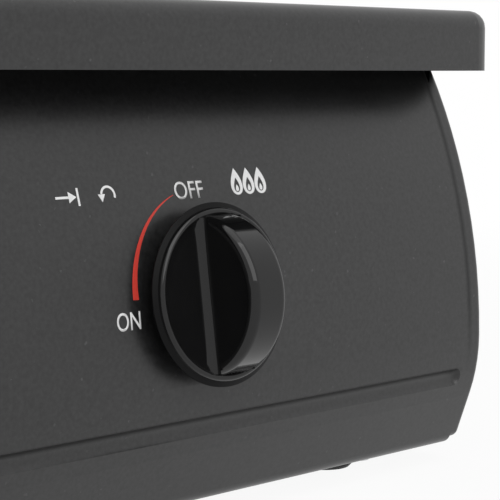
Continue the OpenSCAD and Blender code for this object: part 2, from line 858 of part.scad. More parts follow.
module valve_body(side) {
    end_wall = 3;
    neck_r = 5.5;
    clamp_w = 2;
    magnet_r = 6;
    magnet_bore_r = 2.6;
    outlet_r = 7;
    outlet_l = 20;
    outlet_depth = 12;
    slot_floor = 4;
    color(STEEL) at_side(side) difference() {
        union() {
            on_knob() {
                translate([0, 0, valve_back]) cylinder(r = barrel_r, h = valve_len);
                translate([0, 0, -valve_face]) cylinder(r = cup_r, h = cup_l);
                // pad that carries the igniter
                translate([-barrel_r - pad_t, igniter_low, igniter_back + pad_t])
                    cube([barrel_r, igniter_h, igniter_l - pad_t]);
                // inlet neck down to the pipe
                translate([0, 0, valve_mid]) rotate([90, 0, 0]) cylinder(r = neck_r, h = pipe_drop);
                translate([0, -pipe_drop + pipe_r + 1, valve_mid]) rotate([90, 0, 0])
                    cylinder(r = pipe_r + clamp_w, h = pipe_r / 2);
                // socket of the flame sensor's magnet
                translate([0, 0, magnet_at]) rotate([-90, 0, 0]) cylinder(r = magnet_r, h = magnet_out);
            }
            translate([mix_x, outlet_y, mix_z]) rotate([90, 0, 0]) cylinder(r = outlet_r, h = outlet_l);
        }
        on_knob() {
            translate([0, 0, -valve_face - end_wall]) cylinder(r = stem_r + run_gap, h = valve_len);
            translate([0, 0, -valve_face]) cylinder(r = cup_r - cup_wall, h = cup_l + cut);
            translate([0, 0, valve_back + end_wall]) cylinder(r = plug_r, h = valve_len - 2 * end_wall);
            translate([-tongue_w / 2 - run_gap, 0, -valve_face + slot_floor])
                cube([tongue_w + 2 * run_gap, 2 * cup_r, cup_l]);
            translate([0, 0, valve_mid]) rotate([90, 0, 0]) cylinder(r = gas_bore_r, h = pipe_drop);
            translate([0, barrel_r - 1, magnet_at]) rotate([-90, 0, 0])
                cylinder(r = magnet_bore_r, h = barrel_r);
        }
        translate([-plate_w, pipe_y, pipe_z]) rotate([0, 90, 0])
            cylinder(r = pipe_r + run_gap, h = 2 * plate_w);
        translate([mix_x, outlet_y + cut, mix_z]) rotate([90, 0, 0])
            cylinder(r = outlet_bore_r, h = outlet_depth + cut);
    }
}

module injector(side) {
    hex_r = 6;
    hex_h = 4;
    tail_l = 8;
    bore_r = 1.5;
    jet_r = 0.5;
    tip_h = 2;
    color(BRASS) at_side(side) translate([mix_x, outlet_y, mix_z]) rotate([-90, 0, 0]) difference() {
        union() {
            translate([0, 0, -tail_l]) cylinder(r = outlet_bore_r - seat_gap, h = tail_l + hex_h);
            cylinder(r = hex_r, h = hex_h, $fn = 6);
            cylinder(r = nozzle_r, h = nozzle_l);
            translate([0, 0, nozzle_l]) cylinder(r1 = nozzle_r, r2 = nozzle_r / 2, h = tip_h);
        }
        translate([0, 0, -tail_l - cut]) cylinder(r = bore_r, h = tail_l + nozzle_l);
        cylinder(r = jet_r, h = 2 * nozzle_l);
    }
}

module push_sleeve(side) {
    tongue_out = cup_r + 3;
    color(STEEL) at_side(side) on_knob() difference() {
        union() {
            translate([0, 0, sleeve_back]) cylinder(r = cup_r - cup_wall - run_gap, h = sleeve_h);
            translate([-tongue_w / 2, 0, sleeve_back]) cube([tongue_w, tongue_out, sleeve_h]);
        }
        translate([0, 0, sleeve_back - cut]) cylinder(r = stem_r + run_gap, h = sleeve_h + 2 * cut);
    }
}

module return_spring(side) {
    steps = 8;
    first = -valve_face + wire_r + seat_gap;
    last = sleeve_back - wire_r - seat_gap;
    path = helix(spring_turns, steps, spring_r, first, last);
    echo(spring_gap = least_gap(path, steps / 2 + 1, wire_r));
    color(STEEL) at_side(side) on_knob() tube(path, wire_r, 6, [0, 0, 1]);
}

module valve_stem(side) {
    shoulder_r = 1.5 * stem_r;
    shoulder_h = 2;
    color(BRASS) at_side(side) on_knob() difference() {
        union() {
            translate([0, 0, plug_back]) cylinder(r = stem_r, h = stem_out - plug_back);
            translate([0, 0, plug_back]) cylinder(r = plug_r - run_gap, h = plug_front - plug_back);
            translate([0, 0, sleeve_front + seat_gap]) cylinder(r = shoulder_r, h = shoulder_h);
        }
        translate([-stem_r, stem_flat, knob_gap]) cube([2 * stem_r, stem_r, stem_out]);
        // port of the plug
        translate([0, 0, (plug_front + plug_back) / 2]) rotate([90, 0, 0])
            cylinder(r = gas_bore_r, h = 3 * plug_r, center = true);
    }
}

// Section of the half-moon grip: x is the radius, y the thickness
module grip_section() {
    e = grip_edge_r;
    translate([0, -grip_w / 2]) square([grip_r - e, grip_w]);
    translate([0, -grip_w / 2 + e]) square([grip_r, grip_w - 2 * e]);
    for (s = [-1, 1]) translate([grip_r - e, s * (grip_w / 2 - e)]) circle(r = e);
}

module knob(side) {
    e = skirt_edge_r;
    rim_r = skirt_r - skirt_flare - e;
    // the wall runs into the rim's rounding just under its surface
    wall_r = rim_r + 0.97 * e * cos(skirt_slope);
    wall_z = skirt_top - e + 0.97 * e * sin(skirt_slope);
    foot_z = knob_gap + skirt_foot;
    fillet_l = 2 * sqrt(pow(grip_r, 2) - pow(skirt_face + grip_foot_r - grip_rise, 2));
    stem_room = 0.5;
    color(BLACK) at_side(side) on_knob() difference() {
        union() {
            rotate_extrude() {
                polygon([[0, knob_gap], [skirt_r, knob_gap], [skirt_r, knob_gap + skirt_foot / 3],
                    [wall_r + (wall_z - foot_z) * tan(skirt_slope), foot_z], [wall_r, wall_z],
                    [rim_r, skirt_top - e / 3], [rim_r - skirt_bank, skirt_face], [0, skirt_face]]);
                translate([rim_r, skirt_top - e]) circle(r = e);
            }
            intersection() {
                translate([0, 0, grip_rise]) rotate([0, 90, 0]) rotate_extrude() grip_section();
                translate([-grip_w, -grip_r, knob_gap]) cube([2 * grip_w, 2 * grip_r, 2 * grip_r]);
            }
            for (s = [0, 1]) rotate(180 * s)
                translate([grip_w / 2, fillet_l / 2, skirt_face]) rotate([90, 0, 0])
                    linear_extrude(fillet_l) difference() {
                        square(grip_foot_r);
                        translate([grip_foot_r, grip_foot_r]) circle(r = grip_foot_r);
                    }
            translate([0, 0, knob_gap - hub_reach]) cylinder(r = hub_r, h = hub_reach + skirt_h / 2);
        }
        difference() {
            cylinder(r = stem_r + run_gap, h = stem_out + stem_room);
            translate([-stem_r, stem_flat + run_gap, knob_gap]) cube([2 * stem_r, stem_r, stem_out]);
        }
    }
}

module burner_stand(side) {
    w = 36;
    half = 24;
    top = chamber_bottom;
    color(STEEL) at_side(side) on_burner() difference() {
        union() {
            translate([-w / 2, -half, pan_top]) cube([w, 2 * half, top - pan_top]);
            translate([-w / 2, -half - flange_w, pan_top]) cube([w, 2 * (half + flange_w), sheet]);
        }
        translate([-w, -half + sheet, pan_top - cut])
            cube([2 * w, 2 * (half - sheet), top - sheet - pan_top + cut]);
        for (s = [-1, 1]) translate([0, s * half, (pan_top + top) / 2]) rotate([90, 0, 0])
            cylinder(r = w / 4, h = 4 * sheet, center = true);
    }
}

// Venturi along the mixing tube, grown by wall; y runs from the burner to the mouth
module venturi(wall) {
    l = burner_y - mouth_y;
    neck = l - mouth_l;
    inlet_cone = 12;
    throat_l = 10;
    flare = 3;
    grow = wall - cast_wall;
    polygon([
        [0, 0], [throat_r + flare + grow, 0], [throat_r + grow, neck - inlet_cone - throat_l],
        [throat_r + grow, neck - inlet_cone], [mouth_r + grow, neck], [mouth_r + grow, l], [0, l]
    ]);
}

// Two air windows in the mouth's wall
module air_windows(h) {
    ring = 3;
    edge = 0.5;
    far = 2 * mouth_r;
    for (s = [0, 180]) rotate(s) linear_extrude(h) intersection() {
        difference() {
            circle(r = mouth_r - cast_wall - edge);
            circle(r = nozzle_r + ring);
        }
        polygon([[0, 0], [far, -mouth_r], [far, mouth_r]]);
    }
}

module on_mouth() {
    translate([mix_x, mouth_y, mix_z]) rotate([90, 0, 0]) children();
}

module burner_body(side) {
    lower = chamber_bottom + 32;
    spigot = 6;
    spigot_r = cap_in_r - 2 * run_gap;
    rim_at = cap_r - 1;
    rim_h = 6;
    inside_r = chamber_r - cast_wall;
    floor_z = chamber_bottom + cast_wall;
    front_wall = 2;
    ear_w = 10;
    ear_l = spark_r - chamber_r + 4;
    jet_gap = 1;
    color(CAST) at_side(side) difference() {
        union() {
            on_burner() rotate_extrude()
                polygon([
                    [0, chamber_bottom], [inside_r, chamber_bottom], [chamber_r, floor_z],
                    [chamber_r, lower], [rim_at, seat_z - rim_h], [rim_at, seat_z],
                    [spigot_r, seat_z], [spigot_r, seat_z + spigot], [0, seat_z + spigot]
                ]);
            translate([mix_x, burner_y, mix_z]) rotate([90, 0, 0]) rotate_extrude() venturi(cast_wall);
            // ears for the electrode and the flame sensor
            on_burner() for (a = [-90, sensor_angle]) rotate(a)
                translate([chamber_r, -ear_w / 2, ear_z]) cube([ear_l, ear_w, ear_t]);
        }
        on_burner() rotate_extrude()
            polygon([
                [0, floor_z], [inside_r, floor_z], [inside_r, lower],
                [cap_in_r - cast_wall, seat_z - rim_h],
                [cap_in_r - cast_wall, seat_z + spigot + cut], [0, seat_z + spigot + cut]
            ]);
        translate([mix_x, burner_y, mix_z]) rotate([90, 0, 0]) intersection() {
            rotate_extrude() venturi(0);
            cylinder(r = 2 * mouth_r, h = burner_y - mouth_y - front_wall);
        }
        on_mouth() translate([0, 0, -front_wall - cut]) {
            air_windows(front_wall + 2 * cut);
            cylinder(r = nozzle_r + jet_gap, h = front_wall + 2 * cut);
        }
        on_burner() for (a = [-90, sensor_angle]) rotate(a)
            translate([spark_r, 0, ear_z - cut]) cylinder(r = insulator_r + run_gap, h = ear_t + 2 * cut);
    }
}

module air_shutter(side) {
    r = mouth_r + run_gap;
    l = 9;
    jet_gap = 1;
    color(STEEL) at_side(side) on_mouth() difference() {
        translate([0, 0, seat_gap - l]) cylinder(r = r + shutter_t, h = l + shutter_t);
        translate([0, 0, seat_gap - l - cut]) cylinder(r = r, h = l + cut);
        translate([0, 0, -cut]) {
            air_windows(shutter_t + 3 * cut);
            cylinder(r = nozzle_r + jet_gap, h = shutter_t + 3 * cut);
        }
    }
}

module burner_cap(side) {
    e = cap_edge_r;
    dish_r = cap_in_r - 12;
    dish_h = 1.2;
    groove_r = 1.6;
    groove_drop = 6;
    port_h = port_z - seat_z;
    color(CAST) at_side(side) on_burner() translate([0, 0, seat_z + seat_gap]) difference() {
        rotate_extrude() {
            square([cap_r - e, cap_h]);
            square([cap_r, cap_h - e]);
            translate([cap_r - e, cap_h - e]) circle(r = e);
        }
        translate([0, 0, -cut]) cylinder(r = cap_in_r, h = cap_h - cap_wall + cut);
        translate([0, 0, cap_h - dish_h]) cylinder(r = dish_r, h = cap_h);
        for (i = [0 : port_count - 1]) rotate(360 * i / port_count)
            translate([cap_in_r - cut, 0, port_h]) rotate([0, 90, 0])
                cylinder(r = port_r, h = cap_wall + 2 * cut);
        translate([0, 0, port_h - groove_drop]) rotate_extrude()
            translate([cap_r + groove_r - 1, 0]) circle(r = groove_r);
    }
}

module igniter(side) {
    terminal_r = 3;
    cover_t = 3;
    edge = 2;
    color(BLACK) at_side(side) on_knob() {
        translate([terminal_x - igniter_t / 2, igniter_low, igniter_back]) {
            cube([igniter_t, igniter_h, igniter_l]);
            translate([edge, igniter_h, 2 * edge])
                cube([igniter_t - 2 * edge, cover_t, igniter_l - 4 * edge]);
        }
        translate([terminal_x, terminal_u, terminal_back])
            cylinder(r = terminal_r, h = igniter_back - terminal_back + cut);
    }
}

module on_spark() {
    translate([burner_x, spark_y, 0]) children();
}

module insulator(side) {
    bore_r = 0.85;
    top = port_z - 6;
    color(CERAMIC) at_side(side) on_spark() difference() {
        union() {
            translate([0, 0, insulator_end]) cylinder(r = insulator_r, h = top - insulator_end);
            translate([0, 0, ear_z + ear_t]) cylinder(r = insulator_r + collar_w, h = collar_t);
        }
        translate([0, 0, insulator_end - cut]) cylinder(r = bore_r, h = plate_top);
    }
}

module spark_wire(side) {
    r = 0.8;
    bend = 2;
    top = port_z - bend;
    color(STEEL) at_side(side) on_spark() {
        translate([0, 0, wire_end]) cylinder(r = r, h = top - wire_end);
        translate([0, bend, top]) rotate([90, 0, 90]) rotate(90) rotate_extrude(angle = 90)
            translate([bend, 0]) circle(r = r);
    }
}

module flame_sensor(side) {
    top = port_z - 2;
    color(STEEL) at_side(side) translate([sensor_x, sensor_y, 0]) {
        translate([0, 0, insulator_end]) cylinder(r = insulator_r, h = top - insulator_end);
        translate([0, 0, top]) cylinder(r1 = insulator_r, r2 = insulator_r / 2, h = insulator_r);
        translate([0, 0, ear_z + ear_t]) cylinder(r = insulator_r + collar_w, h = collar_t);
    }
}

// Lead from the igniter's terminal to the electrode
module spark_lead(side) {
    end_gap = 0.4;
    start = knob_point(terminal_x, terminal_u, terminal_back - end_gap);
    side_x = burner_x - 3;
    points = [
        start, start + [0, 8, -1], [side_x, mouth_y, start[2] - 2], [side_x, spark_y - 26, start[2] + 2],
        [burner_x, spark_y - 6, wire_end - 15], [burner_x, spark_y, wire_end - 4],
        [burner_x, spark_y, wire_end - end_gap]
    ];
    color(RED_LEAD) at_side(side) tube(spline(points, 3), 1.5, 8, [1, 0, 0]);
}

// Lead from the flame sensor to the socket on the valve
module sensor_lead(side) {
    end_gap = 0.2;
    finish = knob_point(0, magnet_out + end_gap, magnet_at);
    over = mix_z + mouth_r + shutter_t + 6;
    points = [
        [sensor_x, sensor_y, insulator_end - end_gap], [sensor_x, sensor_y - 2, insulator_end - 4],
        [sensor_x, sensor_y - 14, over], [mix_x, mouth_y, over],
        finish + [0, 6, 9], finish + [0, 0, 4], finish
    ];
    color(BROWN_LEAD) at_side(side) tube(spline(points, 3), 1.2, 8, [1, 0, 0]);
}

module drip_tray(side) {
    top = plate_top;
    low = top - tray_depth;
    foot = bowl_r - tray_slope;
    t = tray_t;
    color(STEEL) at_side(side) on_burner() rotate_extrude($fn = SMOOTH) {
        polygon([
            [tray_r, top + seat_gap], [tray_r, top + seat_gap + t], [bowl_r, top + seat_gap + t],
            [foot, low + t], [tray_hole_r + t, low + 2 * t], [tray_hole_r + t, low + tray_collar],
            [tray_hole_r, low + tray_collar], [tray_hole_r, low + t], [foot + t, low],
            [bowl_r + t, top + seat_gap]
        ]);
    }
}

// Finger of a pan support, x outward from the burner's axis and y up
module finger_section() {
    post = ring_w + 4;
    fillet = 9;
    corner = 6;
    tip_cut = [3, 6];
    bar_z = support_top - finger_h;
    difference() {
        union() {
            translate([finger_tip_r, bar_z]) square([support_r - finger_tip_r, finger_h]);
            translate([support_r - post, support_z]) square([post, support_top - support_z]);
            translate([support_r - post - fillet, bar_z - fillet]) square([fillet, fillet]);
        }
        translate([support_r - post - fillet, bar_z - fillet]) circle(r = fillet);
        translate([support_r - corner, support_top - corner]) difference() {
            square(corner + cut);
            circle(r = corner);
        }
        translate([finger_tip_r, bar_z]) rotate(-45) square(tip_cut, center = true);
    }
}

module pan_support(side) {
    color(CAST) at_side(side) on_burner() {
        translate([0, 0, support_z]) rotate_extrude($fn = SMOOTH)
            translate([support_r - ring_w - 1, 0]) square([ring_w, ring_h]);
        for (i = [0 : finger_count - 1]) rotate(360 * (i + 0.5) / finger_count)
            rotate([90, 0, 0]) linear_extrude(finger_t, center = true) finger_section();
    }
}

base_pan();
front_panel();
side_panel(LEFT);  // left_side_panel
side_panel(RIGHT);  // right_side_panel
rear_panel();
top_plate();
rubber_feet();
base_screws();
rear_screws();
gas_pipe();
pipe_brackets();
inlet_nipple();
valve_body(LEFT);  // left_valve_body
valve_body(RIGHT);  // right_valve_body
injector(LEFT);  // left_injector
injector(RIGHT);  // right_injector
push_sleeve(LEFT);  // left_push_sleeve
push_sleeve(RIGHT);  // right_push_sleeve
return_spring(LEFT);  // left_return_spring
return_spring(RIGHT);  // right_return_spring
valve_stem(LEFT);  // left_valve_stem
valve_stem(RIGHT);  // right_valve_stem
knob(LEFT);  // left_knob
knob(RIGHT);  // right_knob
burner_stand(LEFT);  // left_burner_stand
burner_stand(RIGHT);  // right_burner_stand
burner_body(LEFT);  // left_burner_body
burner_body(RIGHT);  // right_burner_body
air_shutter(LEFT);  // left_air_shutter
air_shutter(RIGHT);  // right_air_shutter
burner_cap(LEFT);  // left_burner_cap
burner_cap(RIGHT);  // right_burner_cap
igniter(LEFT);  // left_igniter
igniter(RIGHT);  // right_igniter
insulator(LEFT);  // left_insulator
insulator(RIGHT);  // right_insulator
spark_wire(LEFT);  // left_spark_wire
spark_wire(RIGHT);  // right_spark_wire
spark_lead(LEFT);  // left_spark_lead
spark_lead(RIGHT);  // right_spark_lead
flame_sensor(LEFT);  // left_flame_sensor
flame_sensor(RIGHT);  // right_flame_sensor
sensor_lead(LEFT);  // left_sensor_lead
sensor_lead(RIGHT);  // right_sensor_lead
drip_tray(LEFT);  // left_drip_tray
drip_tray(RIGHT);  // right_drip_tray
pan_support(LEFT);  // left_pan_support
pan_support(RIGHT);  // right_pan_support
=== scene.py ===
"""Looks of a two-burner tabletop gas stove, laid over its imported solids.

Sizes are in mm and angles in degrees, unless a note says otherwise.
"""

import logging
import math
from abc import ABC, abstractmethod
from dataclasses import dataclass
from enum import Enum

import bmesh
import bpy
from mathutils import Matrix, Vector


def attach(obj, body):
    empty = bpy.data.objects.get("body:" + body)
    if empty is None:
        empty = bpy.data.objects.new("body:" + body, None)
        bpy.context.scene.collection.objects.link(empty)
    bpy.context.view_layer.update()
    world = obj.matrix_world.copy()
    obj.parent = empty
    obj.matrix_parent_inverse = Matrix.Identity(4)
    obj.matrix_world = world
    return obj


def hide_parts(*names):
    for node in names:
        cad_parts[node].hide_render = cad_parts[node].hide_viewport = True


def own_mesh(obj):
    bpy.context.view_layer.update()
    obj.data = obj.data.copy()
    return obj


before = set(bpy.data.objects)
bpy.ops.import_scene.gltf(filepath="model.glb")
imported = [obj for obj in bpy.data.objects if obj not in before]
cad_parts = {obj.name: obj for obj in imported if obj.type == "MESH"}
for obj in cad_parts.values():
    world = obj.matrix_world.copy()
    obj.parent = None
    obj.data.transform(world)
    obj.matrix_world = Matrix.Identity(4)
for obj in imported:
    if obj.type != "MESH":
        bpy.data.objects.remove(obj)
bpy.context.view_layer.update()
MM = 0.001
Colour = tuple[float, float, float]
Point = tuple[float, float, float]
Pair = tuple[float, float]
Socket = bpy.types.NodeSocket
log = logging.getLogger("stove")


class Side(Enum):
    """Half of the stove that a burner and its knob sit on."""

    LEFT = -1
    RIGHT = 1

    @property
    def word(self) -> str:
        """Prefix of this side's node and body names."""
        return self.name.lower()

    def across(self, point: Point) -> Point:
        """Right-side point moved to this side."""
        return (point[0] * self.value, point[1], point[2])


@dataclass(frozen=True)
class PanelFace:
    """Upper sweep of the front panel round a knob; s runs to the right of its axis, t up the sweep."""

    knob_x: float = 180.0
    centre_y: float = -7.71755
    centre_z: float = 39.0
    radius: float = 171.0
    knob_lean: float = 7.392

    def point(self, side: Side, s: float, t: float, out: float) -> Vector:
        """Point on or over the face.

        Args:
            side: Side whose knob it is measured from.
            s: Place to the right of the knob's axis, in mm.
            t: Place up the sweep, in mm.
            out: Height over the face, in mm.

        Returns:
            The point in metres.
        """
        angle = math.radians(self.knob_lean) + t / self.radius
        r = self.radius + out
        return Vector((side.value * self.knob_x + s, self.centre_y - r * math.cos(angle),
                       self.centre_z + r * math.sin(angle))) * MM


class Board:
    """Node board of one material, with its shader and Object coordinates ready."""

    def __init__(self, name: str) -> None:
        """Makes the material.

        Args:
            name: Name of the material.
        """
        self.material = bpy.data.materials.new(name)
        self.material.use_nodes = True
        self.tree = self.material.node_tree
        self.tree.nodes.clear()
        self.shader = self.node("ShaderNodeBsdfPrincipled")
        self.join(self.shader.outputs["BSDF"], self.node("ShaderNodeOutputMaterial").inputs["Surface"])
        self.place = self.node("ShaderNodeTexCoord").outputs["Object"]

    def node(self, kind: str, **settings: object) -> bpy.types.Node:
        """Adds a node.

        Args:
            kind: Blender's name of the node type.
            **settings: Properties to set on the node.

        Returns:
            The new node.
        """
        made = self.tree.nodes.new(kind)
        for key, value in settings.items():
            setattr(made, key, value)
        return made

    def join(self, source: Socket, target: Socket) -> None:
        """Links an output to an input."""
        self.tree.links.new(source, target)

    def feed(self, target: Socket, value: "Socket | float | Colour") -> None:
        """Links a socket, or sets a plain number or colour.

        Args:
            target: Input to fill.
            value: Socket to link, or value to set.
        """
        if isinstance(value, bpy.types.NodeSocket):
            self.join(value, target)
        elif isinstance(value, tuple) and len(target.default_value) == 4:
            target.default_value = (*value, 1.0)
        else:
            target.default_value = value

    def put(self, **values: object) -> None:
        """Sets or links the shader's own inputs, with the spaces in their names written as underscores."""
        for key, value in values.items():
            self.feed(self.shader.inputs[key.replace("_", " ").title().replace("Ior", "IOR")], value)

    def maths(self, operation: str, a: "Socket | float", b: "Socket | float" = 0.0) -> Socket:
        """Result of a sum on two numbers.

        Args:
            operation: Blender's name of the sum.
            a: First number.
            b: Second number.

        Returns:
            The result's socket.
        """
        made = self.node("ShaderNodeMath", operation=operation)
        self.feed(made.inputs[0], a)
        self.feed(made.inputs[1], b)
        return made.outputs[0]

    def length(self, a: Socket, b: Socket) -> Socket:
        """Length of a line that goes a one way and b square to it."""
        squares = self.maths("ADD", self.maths("MULTIPLY", a, a), self.maths("MULTIPLY", b, b))
        return self.maths("SQRT", squares)

    def mapped(self, scale: Point = (1, 1, 1), offset: Point = (0, 0, 0)) -> Socket:
        """Object coordinates, scaled and then moved.

        Args:
            scale: Factor along each axis.
            offset: Move along each axis, in metres.

        Returns:
            The new coordinates' socket.
        """
        made = self.node("ShaderNodeMapping")
        made.inputs["Location"].default_value = offset
        made.inputs["Scale"].default_value = scale
        self.join(self.place, made.inputs["Vector"])
        return made.outputs["Vector"]

    def axis(self, name: str, place: "Socket | None" = None) -> Socket:
        """One of the x, y and z coordinates.

        Args:
            name: Letter of the axis.
            place: Coordinates, or Object coordinates when left out.

        Returns:
            The coordinate's socket.
        """
        made = self.node("ShaderNodeSeparateXYZ")
        self.join(place or self.place, made.inputs[0])
        return made.outputs[name.upper()]

    def noise(self, grain: float, detail: float = 2.0, place: "Socket | None" = None) -> Socket:
        """Soft noise.

        Args:
            grain: Size of the noise's patches in mm.
            detail: Octaves of finer noise.
            place: Coordinates, or Object coordinates when left out.

        Returns:
            The noise's socket, from 0 to 1.
        """
        made = self.node("ShaderNodeTexNoise")
        made.inputs["Scale"].default_value = 1 / (grain * MM)
        made.inputs["Detail"].default_value = detail
        self.join(place or self.place, made.inputs["Vector"])
        return made.outputs["Fac"]

    def line_noise(self, number: Socket, grain: float, detail: float = 3.0) -> Socket:
        """Noise along one number, for turned and brushed lines.

        Args:
            number: Socket that the noise runs along, in metres.
            grain: Size of the noise's patches in mm.
            detail: Octaves of finer noise.

        Returns:
            The noise's socket, from 0 to 1.
        """
        made = self.node("ShaderNodeTexNoise", noise_dimensions="1D")
        made.inputs["Scale"].default_value = 1 / (grain * MM)
        made.inputs["Detail"].default_value = detail
        self.join(number, made.inputs["W"])
        return made.outputs["Fac"]

    def cells(self, grain: float) -> Socket:
        """Random grey of each crystal-like cell.

        Args:
            grain: Size of a cell in mm.

        Returns:
            The grey's socket, from 0 to 1.
        """
        made = self.node("ShaderNodeTexVoronoi")
        made.inputs["Scale"].default_value = 1 / (grain * MM)
        self.join(self.place, made.inputs["Vector"])
        grey = self.node("ShaderNodeRGBToBW")
        self.join(made.outputs["Color"], grey.inputs[0])
        return grey.outputs[0]

    def spread(self, number: Socket, low: float, high: float,
               start: float = 0.3, end: float = 0.7) -> Socket:
        """Number between start and end, stretched to run from low to high.

        Args:
            number: Socket to stretch.
            low: Result at the start and before it.
            high: Result at the end and past it.
            start: Number that gives low.
            end: Number that gives high.

        Returns:
            The result's socket.
        """
        made = self.node("ShaderNodeMapRange")
        for key, value in (("From Min", start), ("From Max", end), ("To Min", low), ("To Max", high)):
            made.inputs[key].default_value = value
        self.join(number, made.inputs["Value"])
        return made.outputs["Result"]

    def tones(self, number: Socket, *stops: tuple[float, Colour]) -> Socket:
        """Colour read off a ramp.

        Args:
            number: Place on the ramp, from 0 to 1.
            *stops: Positions and colours.

        Returns:
            The colour's socket.
        """
        ramp = self.node("ShaderNodeValToRGB")
        while len(ramp.color_ramp.elements) < len(stops):
            ramp.color_ramp.elements.new(0.5)
        for element, (position, colour) in zip(ramp.color_ramp.elements, stops):
            element.position = position
            element.color = (*colour, 1.0)
        self.join(number, ramp.inputs["Fac"])
        return ramp.outputs["Color"]

    def mixed(self, share: Socket, a: "Socket | Colour", b: "Socket | Colour") -> Socket:
        """Colour between two others.

        Args:
            share: Share of b, from 0 to 1.
            a: First colour.
            b: Second colour.

        Returns:
            The colour's socket.
        """
        made = self.node("ShaderNodeMix", data_type="RGBA")
        self.join(share, made.inputs["Factor"])
        for socket, value in zip([s for s in made.inputs if s.type == "RGBA"], (a, b)):
            self.feed(socket, value)
        return next(s for s in made.outputs if s.type == "RGBA")

    def relief(self, *layers: tuple[Socket, float]) -> None:
        """Adds bumps to the surface.

        Args:
            *layers: Height sockets, each with its full height in mm.
        """
        normal = None
        for height, size in layers:
            bump = self.node("ShaderNodeBump")
            bump.inputs["Distance"].default_value = size * MM
            self.join(height, bump.inputs["Height"])
            if normal:
                self.join(normal, bump.inputs["Normal"])
            normal = bump.outputs["Normal"]
        self.join(normal, self.shader.inputs["Normal"])


@dataclass(frozen=True)
class Finish(ABC):
    """Surface of one kind of piece."""

    name: str
    colour: Colour

    @abstractmethod
    def coat(self, board: Board) -> None:
        """Lays the finish out on a board."""

    def material(self) -> bpy.types.Material:
        """This finish's material, made once."""
        return bpy.data.materials.get(self.name) or self._made()

    def _made(self) -> bpy.types.Material:
        """Makes this finish's material.

        Returns:
            The new material.
        """
        board = Board(self.name)
        self.coat(board)
        return board.material

    def tone(self, share: float) -> Colour:
        """The finish's colour, lighter or darker by a share."""
        return tuple(min(1.0, c * share) for c in self.colour)


@dataclass(frozen=True)
class SatinPaint(Finish):
    """Baked charcoal paint with a fine grain; where a seam is given, painted shade darkens the seam and the
    crease.
    """

    roughness: float = 0.34
    shine: float = 0.55
    mottle: float = 1.1
    fleck: float = 0.6
    fleck_range: Pair = (0.94, 0.97)
    patch: float = 25.0
    patch_haze: float = 0.03
    mottle_haze: float = 0.008
    peel: Pair = (0.55, 4.0)
    peel_depth: Pair = (0.006, 0.004)
    # Painted shade in the seam and under the crease: how much it hazes the paint, the shine left in it, and
    # its share in each line.
    dirt_haze: float = 0.3
    dirt_shine: float = 0.1
    seam: Pair | None = None
    seam_foot: Pair = (28.0, 50.0)
    seam_shade: float = 0.5
    crease: Pair = (28.4, 30.8)
    crease_shade: float = 0.6
    crease_fade: float = 5.0

    def coat(self, board: Board) -> None:
        """Lays out a fine mottle, sparse pale flecks, hazy patches, a fine peel and the painted shade of
        the seam and crease.

        Args:
            board: Board of the material.
        """
        mottle = board.noise(self.mottle, 3)
        fleck = board.spread(board.cells(self.fleck), 0, 1, *self.fleck_range)
        tone = board.mixed(board.spread(mottle, 0, 1), self.tone(0.55), self.tone(1.5))
        tone = board.mixed(fleck, tone, self.tone(3.5))
        patch = board.spread(board.noise(self.patch, 4), -self.patch_haze, self.patch_haze)
        haze = board.maths("ADD", patch, board.spread(mottle, -self.mottle_haze, self.mottle_haze))
        gloss = board.maths("ADD", haze, self.roughness)
        board.put(specular_ior_level=self.shine)
        if self.seam:
            # Painted shade in the seam and under the crease's upper edge: the colour drops to a quarter,
            # and the paint turns hazier and less shiny.
            dirt = self.dirt(board)
            tone = board.mixed(dirt, tone, self.tone(0.25))
            gloss = board.maths("ADD", gloss, board.maths("MULTIPLY", dirt, self.dirt_haze))
            board.put(specular_ior_level=board.spread(dirt, self.shine, self.dirt_shine, 0, 1))
        board.put(base_color=tone, roughness=gloss)
        board.relief((board.noise(self.peel[0], 2), self.peel_depth[0]),
                     (board.noise(self.peel[1], 1), self.peel_depth[1]))

    def dirt(self, board: Board) -> Socket:
        """Painted shade along the panel's upright ends and under the crease's upper edge.

        Args:
            board: Board of the material.

        Returns:
            The painted shade's share, from 0 to 1.
        """
        x, z = board.maths("ABSOLUTE", board.axis("x")), board.axis("z")
        above_foot = board.spread(z, 0, 1, self.seam_foot[0] * MM, self.seam_foot[1] * MM)
        before_seam = board.spread(x, 1, 0, (self.seam[0] - self.crease_fade) * MM, self.seam[0] * MM)
        upright = board.maths("MULTIPLY", self.line(board, x, self.seam, self.seam_shade), above_foot)
        level = board.maths("MULTIPLY", self.line(board, z, self.crease, self.crease_shade), before_seam)
        return board.maths("MAXIMUM", upright, level)

    def line(self, board: Board, place: Socket, band: Pair, most: float) -> Socket:
        """Soft line of painted shade.

        Args:
            board: Board of the material.
            place: Coordinate across the line.
            band: Both edges of the line, in mm.
            most: Share of painted shade in the line's middle.

        Returns:
            The painted shade's share.
        """
        low, high = (edge * MM for edge in band)
        off = board.maths("ABSOLUTE", board.maths("SUBTRACT", place, (low + high) / 2))
        return board.spread(off, most, 0, 0, (high - low) / 2)


